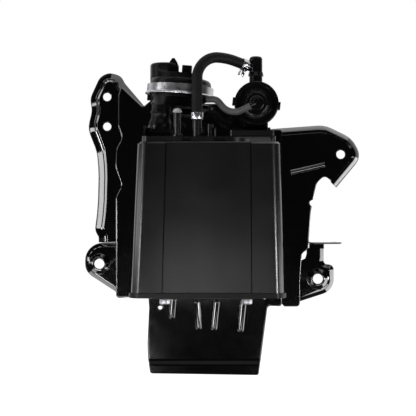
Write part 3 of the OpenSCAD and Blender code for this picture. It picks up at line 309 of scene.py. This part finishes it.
# Each edge=(colour, amount) below lightens the rolled edges partly as wear and partly as a painted highlight
CASE = finish("case_nylon", grey(0.0030), grey(0.0050), rough=0.23, spread=0.02, patch=12.0, detail=1.5,
              grain=(1500.0, 0.05, 0.00008), waves=(9.0, (1.0, 1.0, 0.22), 0.30, 0.0010),
              edge=(grey(0.030), 0.5), pale=grey(0.40), specular=0.6, panel_shade_lines=PANEL_SHADE_LINES,
              sinks=(14.0, (1.0, 1.0, 0.18), 0.7, 1.35))
BASE = finish("base_nylon", grey(0.0016), grey(0.0030), rough=0.36, spread=0.03, patch=30.0,
              edge=(grey(0.030), 0.5), specular=0.25)
PUMP = finish("pump_nylon", grey(0.0014), grey(0.0030), rough=0.33, spread=0.05,
              grain=(1300.0, 0.10, 0.00010), edge=(grey(0.025), 0.4), specular=0.2)
VALVE = finish("valve_nylon", grey(0.0014), grey(0.0030), rough=0.24, spread=0.03, patch=40.0,
               grain=(1500.0, 0.05, 0.00008), edge=(grey(0.030), 0.5), specular=0.25)
PAINT = finish("bracket_paint", grey(0.0008), grey(0.0018), rough=0.08, spread=0.015, patch=24.0,
               detail=2.0, grain=None, edge=(grey(0.020), 0.3), coat=1.0, coat_rough=0.06, specular=1.0)
ZINC = finish("bolt_zinc", grey(0.50), grey(0.70), rough=0.40, spread=0.09, metal=1.0, patch=160.0,
              grain=(1500.0, 0.10, 0.00006))
BAND = finish("band_strip", grey(0.42), grey(0.60), rough=0.30, spread=0.05, metal=1.0, patch=60.0,
              streak=(420.0, (0.06, 0.06, 3.0)), grain=(1600.0, 0.03, 0.00004))
CLIP = finish("clip_spring_steel", grey(0.56), grey(0.76), rough=0.26, spread=0.07, metal=1.0,
              patch=220.0, grain=(1500.0, 0.06, 0.00005))
HOSE = finish("hose_rubber", grey(0.0030), grey(0.0060), rough=0.55, spread=0.08, patch=70.0,
              grain=(1100.0, 0.20, 0.00014), specular=0.2, sheen=0.02)
LINE = finish("line_rubber", grey(0.060), grey(0.095), rough=0.50, spread=0.08, patch=90.0,
              grain=(1300.0, 0.18, 0.00012), specular=0.4)
SEAL = finish("seal_rubber", grey(0.012), grey(0.020), rough=0.55, spread=0.08, patch=120.0)
CHARCOAL = finish("charcoal_pellets", grey(0.008), grey(0.030), rough=0.85, spread=0.08, patch=420.0,
                  grain=(420.0, 0.9, 0.0012))
FELT = finish("filter_felt", (0.58, 0.56, 0.50), (0.74, 0.72, 0.66), rough=0.92, spread=0.05,
              patch=240.0, grain=(900.0, 0.7, 0.0004), sheen=0.3)
SPRING = finish("spring_wire", grey(0.45), grey(0.62), rough=0.34, spread=0.08, metal=1.0, patch=150.0)
BRASS = finish("turned_brass", (0.60, 0.44, 0.20), (0.74, 0.58, 0.30), rough=0.28, spread=0.06,
               metal=1.0, patch=150.0)
MOTOR = finish("motor_can", grey(0.40), grey(0.55), rough=0.36, spread=0.08, metal=1.0, patch=90.0,
               streak=(300.0, (0.08, 0.08, 3.0)))

# Solids inside the canister, the pump and the valve, which keep their shape
HIDDEN = {
    "charcoal_main": CHARCOAL, "charcoal_vent": CHARCOAL,
    "filter_main_top": FELT, "filter_vent_top": FELT, "filter_main_low": FELT, "filter_vent_low": FELT,
    "pump_filter": FELT, "grid_main": CASE, "grid_vent": CASE, "bed_springs": SPRING,
    "valve_spring": SPRING, "inserts": BRASS, "connector_pins": BRASS, "pump_motor": MOTOR,
    "cap_seal": SEAL, "neck_seal": SEAL, "valve_diaphragm": SEAL,
}
for node_name, hidden_finish in HIDDEN.items():
    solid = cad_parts[node_name]
    solid.data.materials.clear()
    solid.data.materials.append(hidden_finish)


def keep(piece, slot, *nodes):
    """Fixes a finished piece to the part, in place of the solids that it stands for."""
    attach(piece, BODY)
    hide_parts(*nodes)


def link(name, mesh, material):
    """An object for a mesh, with one material."""
    mesh.name = name
    mesh.materials.clear()
    mesh.materials.append(material)
    piece = bpy.data.objects.new(name, mesh)
    bpy.context.scene.collection.objects.link(piece)
    return piece


def plain(piece):
    """The piece with its modifiers worked into a plain mesh."""
    graph = bpy.context.evaluated_depsgraph_get()
    mesh = bpy.data.meshes.new_from_object(piece.evaluated_get(graph), depsgraph=graph)
    name, shape = piece.name, piece.data
    # A hose's curve has no material of its own, and gets it from its tree
    material = (shape.materials or mesh.materials)[0]
    bpy.data.objects.remove(piece)
    kind = bpy.data.curves if isinstance(shape, bpy.types.Curve) else bpy.data.meshes
    kind.remove(shape)
    return link(name, mesh, material)


def roll_edges(piece, width, angle):
    """Rolls over the edges that are sharper than an angle."""
    roll = piece.modifiers.new("edges", "BEVEL")
    roll.limit_method = "ANGLE"
    roll.angle_limit = math.radians(angle)
    roll.width = width * MM
    roll.segments = ROLL_SEGMENTS


def shade(mesh, angle):
    """Smooth shading, apart from edges that are sharper than an angle."""
    mesh.polygons.foreach_set("use_smooth", [True] * len(mesh.polygons))
    mesh.set_sharp_from_angle(angle=math.radians(angle))


def mark_faces(mesh, name, values):
    """Stores a number for each face, for the finish to read."""
    mesh.attributes.new(name, "FLOAT", "FACE").data.foreach_set("value", values)


def copied(node, largest):
    """A solid's triangles joined to faces; a face with more corners than largest is cut up again."""
    bm = bmesh.new()
    bm.from_mesh(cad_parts[node].data)
    bmesh.ops.remove_doubles(bm, verts=bm.verts, dist=MERGE_DISTANCE)
    bmesh.ops.dissolve_limit(bm, angle_limit=math.radians(FLAT_ANGLE), verts=bm.verts, edges=bm.edges)
    if largest:
        bmesh.ops.triangulate(bm, faces=[face for face in bm.faces if len(face.verts) > largest])
    return bm


def weigh_edges(bm, rear_share):
    """Sets how far each outward edge is rolled: fully on front faces, elsewhere by a share."""
    weight = bm.edges.layers.float.new("bevel_weight_edge")
    for edge in bm.edges:
        if len(edge.link_faces) != 2 or not edge.is_convex:
            continue
        if edge.calc_face_angle() > math.radians(EDGE_ANGLE):
            front = min(face.normal.y for face in edge.link_faces) < FRONT_NORMAL
            edge[weight] = 1.0 if front else rear_share


def bevelled_faces(piece):
    """1 for each face that the piece's bevel makes, by its material slot, and 0 for the others."""
    shaped = piece.evaluated_get(bpy.context.evaluated_depsgraph_get()).data
    slots = [0] * len(shaped.polygons)
    shaped.polygons.foreach_get("material_index", slots)
    return [float(slot) for slot in slots]


def dressed(node, name, material, slot, width, rear=None, segments=ROLL_SEGMENTS, largest=None, pale=None):
    """A copy of a solid with its outer edges rolled over, marked for the finish's wear and painted highlight.

    Edges of the front faces are rolled to the given width and, where rear is given, the others to that.
    Faces with more corners than largest are cut up first. pale is (middle, radius) of the head that is
    painted pale as a painted highlight.
    """
    bm = copied(node, largest)
    weigh_edges(bm, 1.0 if rear is None else rear / width)
    mesh = bpy.data.meshes.new(name)
    bm.to_mesh(mesh)
    bm.free()
    piece = link(name, mesh, material)
    # A second slot, which tells the faces of the bevel from the others
    mesh.materials.append(material)
    roll = piece.modifiers.new("edges", "BEVEL")
    roll.limit_method, roll.width, roll.segments = "WEIGHT", width * MM, segments
    roll.use_clamp_overlap = rear is None
    roll.material = 1
    rolled = bevelled_faces(piece)
    piece = plain(piece)
    # The rolled faces, which the finish lightens partly as wear and partly as a painted highlight
    mark_faces(piece.data, "edge", rolled)
    # The tank port's head, marked to be painted pale as a painted highlight
    if pale:
        middle, radius = place(*pale[0]), pale[1] * MM
        in_head = [float((face.center - middle).length < radius) for face in piece.data.polygons]
        mark_faces(piece.data, "pale", in_head)
    shade(piece.data, SMOOTH_ANGLE)
    even = piece.modifiers.new("even_shading", "WEIGHTED_NORMAL")
    even.keep_sharp = True
    even.weight = NORMAL_WEIGHT
    keep(plain(piece), slot, node)


def turned(angle, axis):
    """A turn about an axis."""
    return Matrix.Rotation(math.radians(angle), 4, axis)


def hose_frame(shape):
    """Where a hose's run starts: its length along local X, its bends in local X and Y."""
    matrix = Matrix.Translation(Vector(shape.start)) @ turned(shape.plan, "Z") @ turned(90.0, "X")
    return matrix @ turned(90.0, "Z") if shape.upright else matrix


def ahead(heading):
    """The direction of a heading, in a run's plane."""
    return Vector((math.cos(heading), math.sin(heading)))


def across(heading):
    """The direction to the left of a heading, in a run's plane."""
    return Vector((-math.sin(heading), math.cos(heading)))


def run_points(run):
    """Points and headings of a run of straights and bends, in its own plane."""
    at, heading, found = Vector((0.0, 0.0)), 0.0, []
    for part in run:
        if isinstance(part, tuple):
            radius, turn = part
            arm = math.copysign(radius, turn)
            centre = at + arm * across(heading)
            count = max(2, math.ceil(abs(turn) / BEND_STEP))
            for i in range(count):
                passed = heading + math.radians(turn) * i / count
                found.append((centre - arm * across(passed), passed))
            heading += math.radians(turn)
            at = centre - arm * across(heading)
        else:
            count = max(1, math.ceil(part / STRAIGHT_STEP))
            for i in range(count):
                found.append((at + part * i / count * ahead(heading), heading))
            at = at + part * ahead(heading)
    found.append((at, heading))
    return found


def tree_with(name, sockets):
    """A new node tree for geometry with named inputs; returns the tree, its input and output nodes."""
    tree = bpy.data.node_groups.new(name, "GeometryNodeTree")
    tree.interface.new_socket("Geometry", in_out="INPUT", socket_type="NodeSocketGeometry")
    for label, kind in sockets.items():
        tree.interface.new_socket(label, in_out="INPUT", socket_type=kind)
    tree.interface.new_socket("Geometry", in_out="OUTPUT", socket_type="NodeSocketGeometry")
    return tree, tree.nodes.new("NodeGroupInput"), tree.nodes.new("NodeGroupOutput")


def end_tree(tree, geometry, material, out):
    """Ends a tree with real geometry that has its finish."""
    real = add(tree, "GeometryNodeRealizeInstances", {"Geometry": geometry}).outputs[0]
    finished = add(tree, "GeometryNodeSetMaterial", {"Geometry": real, "Material": material})
    tree.links.new(finished.outputs[0], out.inputs[0])


def set_inputs(modifier, values):
    """Sets a tree's inputs by their identifiers."""
    for item in modifier.node_group.interface.items_tree:
        if item.in_out == "INPUT" and item.name in values:
            modifier[item.identifier] = values[item.name]


def hose_tree():
    """Sweeps a round wall along a route."""
    tree, given, out = tree_with("hose_wall", {"Radius": "NodeSocketFloat", "Sides": "NodeSocketInt",
                                               "Finish": "NodeSocketMaterial"})
    circle = {"Resolution": given.outputs["Sides"], "Radius": given.outputs["Radius"]}
    ring = add(tree, "GeometryNodeCurvePrimitiveCircle", circle, mode="RADIUS")
    sweep = {"Curve": given.outputs["Geometry"], "Profile Curve": ring.outputs[0]}
    wall = add(tree, "GeometryNodeCurveToMesh", sweep)
    end_tree(tree, wall.outputs[0], given.outputs["Finish"], out)
    return tree


HOSE_TREE = hose_tree()


def hose(name, shape, material, slot, node):
    """A moulded hose along its run, with its bore and its square ends."""
    route = hose_frame(shape)
    points = [route @ at.to_3d() for at, _ in run_points(shape.run)]
    curve = bpy.data.curves.new(name, "CURVE")
    curve.dimensions = "3D"
    spline = curve.splines.new("POLY")
    spline.points.add(len(points) - 1)
    for knot, point in zip(spline.points, points):
        knot.co = (*place(*point), 1.0)
    piece = bpy.data.objects.new(name, curve)
    bpy.context.scene.collection.objects.link(piece)
    sweep = piece.modifiers.new("wall", "NODES")
    sweep.node_group = HOSE_TREE
    set_inputs(sweep, {"Radius": shape.radius * MM, "Sides": HOSE_SIDES, "Finish": material})
    piece = plain(piece)
    wall = piece.modifiers.new("bore", "SOLIDIFY")
    wall.thickness = (shape.radius - shape.bore) * MM
    # Inward from the swept surface
    wall.offset = -1.0
    roll_edges(piece, HOSE_ROLL, HOSE_ROLL_ANGLE)
    piece = plain(piece)
    shade(piece.data, HOSE_SMOOTH)
    keep(piece, slot, node)


def arc_strip(bm, radius, width, start, end, count, x0):
    """A strip of sheet bent round local X from one angle to another."""
    rows = []
    for i in range(count + 1):
        a = math.radians(start + (end - start) * i / count)
        y, z = radius * math.cos(a), radius * math.sin(a)
        rows.append([bm.verts.new((x, y, z)) for x in (x0, x0 + width)])
    for low, high in zip(rows, rows[1:]):
        bm.faces.new((low[0], low[1], high[1], high[0]))
    return rows


def tang(bm, tip, side):
    """A bent tang that stands up from a finger's tip and leans to one side."""
    last = tip
    for rise, lean in CLIP_TANG:
        fresh = [bm.verts.new(vert.co + Vector((0.0, side * lean, rise))) for vert in tip]
        bm.faces.new((last[0], last[1], fresh[1], fresh[0]))
        last = fresh


def spring_clip(name, end, along, turn, node):
    """A spring clip: a band whose ends are cut into fingers that pass each other, each with its tang."""
    bm = bmesh.new()
    radius = LARGE_HOSE.radius + CLIP_T / 2
    band_from, band_to = CLIP_CROSS + CLIP_CUT, CLIP_CROSS + 360.0 - CLIP_CUT
    arc_strip(bm, radius, CLIP_W, band_from, band_to, CLIP_BAND_STEPS, 0.0)
    for x0 in (0.0, CLIP_W - CLIP_FINGER_W):
        outer_tip = CLIP_CROSS + 360.0 + CLIP_PASS
        rows = arc_strip(bm, radius, CLIP_FINGER_W, band_to, outer_tip, CLIP_FINGER_STEPS, x0)
        tang(bm, rows[-1], -1)
    middle_tip, middle_w = CLIP_CROSS - CLIP_PASS, CLIP_W - 2 * CLIP_FINGER_W
    rows = arc_strip(bm, radius, middle_w, middle_tip, band_from, CLIP_FINGER_STEPS, CLIP_FINGER_W)
    tang(bm, rows[0], 1)
    bmesh.ops.remove_doubles(bm, verts=bm.verts, dist=CLIP_MERGE)
    bmesh.ops.transform(bm, verts=bm.verts, matrix=turned(turn, "X"))
    bmesh.ops.transform(bm, verts=bm.verts, matrix=end @ Matrix.Translation((along, 0, 0)))
    for vert in bm.verts:
        vert.co = place(*vert.co)
    bmesh.ops.recalc_face_normals(bm, faces=bm.faces)
    mesh = bpy.data.meshes.new(name)
    bm.to_mesh(mesh)
    bm.free()
    piece = link(name, mesh, CLIP)
    sheet = piece.modifiers.new("sheet", "SOLIDIFY")
    sheet.thickness = CLIP_SHEET_T * MM
    # Evenly to both sides
    sheet.offset = 0.0
    roll_edges(piece, CLIP_ROLL, CLIP_ROLL_ANGLE)
    piece = plain(piece)
    shade(piece.data, CLIP_SMOOTH)
    keep(piece, "clip_steel", node)


def bolt_tree():
    """Flange bolts in a row, each a domed flange, a hexagon head with a chamfer, and a shank."""
    sizes = ("Flange Radius", "Flange Height", "Head Radius", "Head Height", "Shank Radius", "Shank Length")
    sockets = {"Count": "NodeSocketInt", "Start": "NodeSocketVector", "Step": "NodeSocketVector",
               **{size: "NodeSocketFloat" for size in sizes}, "Finish": "NodeSocketMaterial"}
    tree, given, out = tree_with("flange_bolts", sockets)
    flange_r, flange_h, head_r, head_h, shank_r, shank_l = (given.outputs[size] for size in sizes)

    def times(value, factor):
        return calc(tree, "MULTIPLY", value, factor)

    def block(sides, low_radius, high_radius, depth, base):
        """A block that stands on the level of its base, wider or narrower at its top."""
        shape = {"Vertices": sides, "Radius Top": high_radius, "Radius Bottom": low_radius, "Depth": depth}
        solid = add(tree, "GeometryNodeMeshCone", shape, fill_type="NGON").outputs[0]
        lift = add(tree, "ShaderNodeCombineXYZ", {"Z": base}).outputs[0]
        return add(tree, "GeometryNodeTransform", {"Geometry": solid, "Translation": lift}).outputs[0]

    half = times(flange_h, 0.5)
    total = calc(tree, "ADD", flange_h, head_h)
    chamfer = times(head_h, CHAMFER_H_SHARE)
    above_chamfer = calc(tree, "SUBTRACT", chamfer, total)
    joined = add(tree, "GeometryNodeJoinGeometry")
    for part in (
        block(FLANGE_SIDES, flange_r, flange_r, half, times(half, -1.0)),
        block(FLANGE_SIDES, times(flange_r, DOME_SHARE), flange_r, half, times(flange_h, -1.0)),
        block(HEAD_SIDES, head_r, head_r, times(head_h, 1 - CHAMFER_H_SHARE), above_chamfer),
        block(HEAD_SIDES, times(head_r, CHAMFER_R_SHARE), head_r, chamfer, times(total, -1.0)),
        block(SHANK_SIDES, shank_r, shank_r, shank_l, 0.0),
    ):
        tree.links.new(part, joined.inputs[0])
    row = {"Count": given.outputs["Count"], "Start Location": given.outputs["Start"],
           "Offset": given.outputs["Step"]}
    line = add(tree, "GeometryNodeMeshLine", row, mode="OFFSET")
    bolts = {"Points": line.outputs[0], "Instance": joined.outputs[0]}
    spread = add(tree, "GeometryNodeInstanceOnPoints", bolts)
    end_tree(tree, spread.outputs[0], given.outputs["Finish"], out)
    return tree


def base_bolts():
    """The two bolts that hold the canister on the shelf."""
    piece = link("base_bolt_pair", bpy.data.meshes.new("base_bolt_pair"), ZINC)
    row = piece.modifiers.new("row", "NODES")
    row.node_group = bolt_tree()
    low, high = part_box("base_bolts")
    seat = place(*BOLT_SEAT)
    set_inputs(row, {
        "Count": BOLT_COUNT, "Start": seat, "Step": Vector((BOLT_PITCH, 0, 0)) * MM,
        "Flange Radius": FLANGE_R * MM, "Flange Height": FLANGE_H * MM,
        "Head Radius": HEAD_R * MM, "Head Height": seat.z - low.z - FLANGE_H * MM,
        "Shank Radius": SHANK_R * MM, "Shank Length": high.z - seat.z, "Finish": ZINC})
    piece = plain(piece)
    roll_edges(piece, BOLT_ROLL, BOLT_ROLL_ANGLE)
    piece = plain(piece)
    shade(piece.data, BOLT_SMOOTH)
    keep(piece, "zinc", "base_bolts")


# The case, with the tank port's head painted pale as a painted highlight
dressed("canister_case", "case_moulding", CASE, "case_plastic", width=0.5, pale=(PORT_HEAD, PORT_HEAD_R))
dressed("base_cover", "base_moulding", BASE, "case_plastic", width=0.7)
dressed("back_plate", "plate_pressing", PAINT, "bracket_paint", width=PLATE_ROLL, rear=REAR_ROLL,
        segments=PLATE_SEGMENTS)
for wing in ("left_wing", "right_wing"):
    dressed(wing, f"{wing}_pressing", PAINT, "bracket_paint", width=PRESSING_ROLL, rear=REAR_ROLL,
            segments=PRESSING_SEGMENTS)
for ear in ("left_ear", "right_ear"):
    dressed(ear, f"{ear}_pressing", PAINT, "bracket_paint", width=PRESSING_ROLL, rear=REAR_ROLL,
            segments=PRESSING_SEGMENTS, largest=EAR_CORNERS)
dressed("shelf", "shelf_pressing", PAINT, "bracket_paint", width=0.6)
dressed("pump_housing", "pump_lower_moulding", PUMP, "pump_plastic", width=0.4)
dressed("pump_cap", "pump_upper_moulding", PUMP, "pump_plastic", width=0.5)
dressed("clamp_band", "band_pressing", BAND, "band_steel", width=0.2)
dressed("valve_body", "valve_body_moulding", VALVE, "case_plastic", width=0.4)
dressed("valve_cover", "valve_cover_moulding", VALVE, "case_plastic", width=0.35)
hose("large_hose", LARGE_HOSE, HOSE, "hose_rubber", "vapour_hose")
hose("small_hose", SMALL_HOSE, LINE, "line_rubber", "sensing_hose")
low_end = hose_frame(LARGE_HOSE)
last_at, last_heading = run_points(LARGE_HOSE.run)[-1]
high_end = low_end @ Matrix.Translation(last_at.to_3d()) @ Matrix.Rotation(last_heading, 4, "Z")
spring_clip("low_spring_clip", low_end, CLIP_LOW_AT, CLIP_LOW_TURN, "hose_clip_low")
spring_clip("high_spring_clip", high_end, CLIP_HIGH_AT, CLIP_HIGH_TURN, "hose_clip_high")
base_bolts()


# The photograph's studio: each card's place, the place that it faces, its size in metres and its radiance
CARDS = {
    "left_card": ((-1100, -390, 15), (0, -390, 15), (1.02, 0.17), 3.7),
    "left_low_card": ((-900, 0, -1050), (-110, 0, -80), (0.8, 0.6), 1.6),
    "left_strip": ((-983, -700, 90), (-60, -50, 0), (0.10, 0.56), 5.0),
    "left_mid_card": ((-760, -930, -95), (0, -50, -20), (0.14, 0.19), 24.0),
    "left_front_card": ((-345, -1200, -440), (-345, 0, -440), (0.35, 0.30), 13.0),
    "right_front_card": ((345, -1200, -440), (345, 0, -440), (0.35, 0.30), 4.0),
    "case_card": ((-15, -1200, -150), (-15, 0, -150), (0.22, 0.06), 3.3),
    "right_mid_card": ((760, -930, -125), (0, -50, -40), (0.14, 0.14), 38.0),
    "right_card": ((1100, -25, -715), (0, -25, -715), (0.95, 1.27), 3.0),
    "low_card": ((0, -350, -1100), (0, -60, 0), (1.4, 0.9), 0.08),
    "top_strip": ((0, -930, 760), (0, -50, 60), (1.0, 0.22), 1.2),
    "top_card": ((500, 100, 1200), (80, 0, 0), (1.0, 1.2), 0.7),
}
# Small cards round the top, far off the camera's axis, that draw a line along the bends of the rims: their
# distance from that axis, their depth, their size in metres, and the radiance at each angle from the right
RIM_CARD_R, RIM_CARD_Y, RIM_CARD_SIZE = 1063, -285, 0.24
RIM_CARDS = {35: 1.2, 55: 1.2, 75: 1.2, 95: 2.5, 115: 3.5, 135: 4.0, 155: 3.5}
# Room: the Y of the directions between which the white backdrop fades in, the level in front of it, and
# the share of both in light that isn't mirrored
BACKDROP_FADE, ROOM_LEVEL, UNMIRRORED_SHARE = (0.15, 0.6), 0.01, 0.6
# Floor: what it gives off where it is seen, its own grey, half its side and its drop in metres
FLOOR_GLOW, FLOOR_GREY, FLOOR_HALF, FLOOR_DROP = 0.93, 0.6, 6.0, 0.06
WHITE = (1, 1, 1, 1)


def level_camera():
    """The photograph's camera, level, looking to the rear."""
    data = bpy.data.cameras.new("camera")
    data.lens, data.sensor_width = CAMERA_LENS, CAMERA_SENSOR
    data.clip_start, data.clip_end = CAMERA_RANGE
    camera = bpy.data.objects.new("camera", data)
    camera.location = CAMERA_FROM
    camera.rotation_euler = (math.radians(90), 0, 0)
    bpy.context.scene.collection.objects.link(camera)
    bpy.context.scene.camera = camera


def panel(name, at, aim, size, radiance):
    """A soft light panel of a given radiance, hidden from the camera."""
    data = bpy.data.lights.new(name, "AREA")
    data.shape = "RECTANGLE"
    data.size, data.size_y = size
    data.energy = radiance * math.pi * size[0] * size[1]
    lamp = bpy.data.objects.new(name, data)
    lamp.location = place(*at)
    lamp.rotation_euler = (place(*aim) - lamp.location).to_track_quat("-Z", "Y").to_euler()
    lamp.visible_camera = False
    bpy.context.scene.collection.objects.link(lamp)


def studio_world():
    """A pale studio: a white backdrop, also in what reflects it, and a dark room in front."""
    world = bpy.data.worlds.new("studio")
    bpy.context.scene.world = world
    world.use_nodes = True
    tree = world.node_tree
    tree.nodes.clear()
    direction = add(tree, "ShaderNodeTexCoord").outputs["Generated"]
    depth = add(tree, "ShaderNodeSeparateXYZ", {"Vector": direction}).outputs["Y"]
    backdrop = remap(tree, depth, *BACKDROP_FADE, ROOM_LEVEL, 1.0)
    path = add(tree, "ShaderNodeLightPath").outputs
    mirrored = calc(tree, "MAXIMUM", path["Is Glossy Ray"], path["Is Transmission Ray"])
    glow = calc(tree, "MULTIPLY", backdrop, remap(tree, mirrored, 0.0, 1.0, UNMIRRORED_SHARE, 1.0))
    first, second = MIX_NUMBERS
    shown = {MIX_FACTOR: path["Is Camera Ray"], first: glow, second: 1.0}
    strength = add(tree, "ShaderNodeMix", shown, data_type="FLOAT").outputs[0]
    back = add(tree, "ShaderNodeBackground", {"Color": WHITE, "Strength": strength})
    add(tree, "ShaderNodeOutputWorld", {"Surface": back.outputs[0]})


def pale_floor():
    """A pale floor under the object that takes its shadow and reads as white."""
    material = bpy.data.materials.new("pale_floor")
    material.use_nodes = True
    tree = material.node_tree
    tree.nodes.clear()
    path = add(tree, "ShaderNodeLightPath").outputs
    seen = calc(tree, "MAXIMUM", path["Is Camera Ray"], path["Is Glossy Ray"])
    lift = remap(tree, seen, 0.0, 1.0, 0.0, FLOOR_GLOW)
    white = add(tree, "ShaderNodeEmission", {"Color": WHITE, "Strength": lift})
    matt = add(tree, "ShaderNodeBsdfDiffuse", {"Color": (FLOOR_GREY, FLOOR_GREY, FLOOR_GREY, 1)})
    both = add(tree, "ShaderNodeAddShader", {0: white.outputs[0], 1: matt.outputs[0]})
    add(tree, "ShaderNodeOutputMaterial", {"Surface": both.outputs[0]})
    mesh = bpy.data.meshes.new("floor")
    level = cad_low.z - FLOOR_DROP
    corners = [(x * FLOOR_HALF, y * FLOOR_HALF, level) for x, y in ((-1, -1), (1, -1), (1, 1), (-1, 1))]
    mesh.from_pydata(corners, [], [(0, 1, 2, 3)])
    floor = link("floor", mesh, material)
    floor.visible_shadow = False
    floor.visible_diffuse = False
    floor.visible_glossy = False


level_camera()
for card_name, card in CARDS.items():
    panel(card_name, *card)
for card_turn, card_radiance in RIM_CARDS.items():
    aside = math.radians(card_turn)
    card_at = (RIM_CARD_R * math.cos(aside), RIM_CARD_Y, RIM_CARD_R * math.sin(aside))
    panel(f"rim_card_{card_turn}", card_at, (0, 0, 0), (RIM_CARD_SIZE, RIM_CARD_SIZE), card_radiance)
studio_world()
pale_floor()
bpy.context.scene.view_settings.view_transform = "Standard"
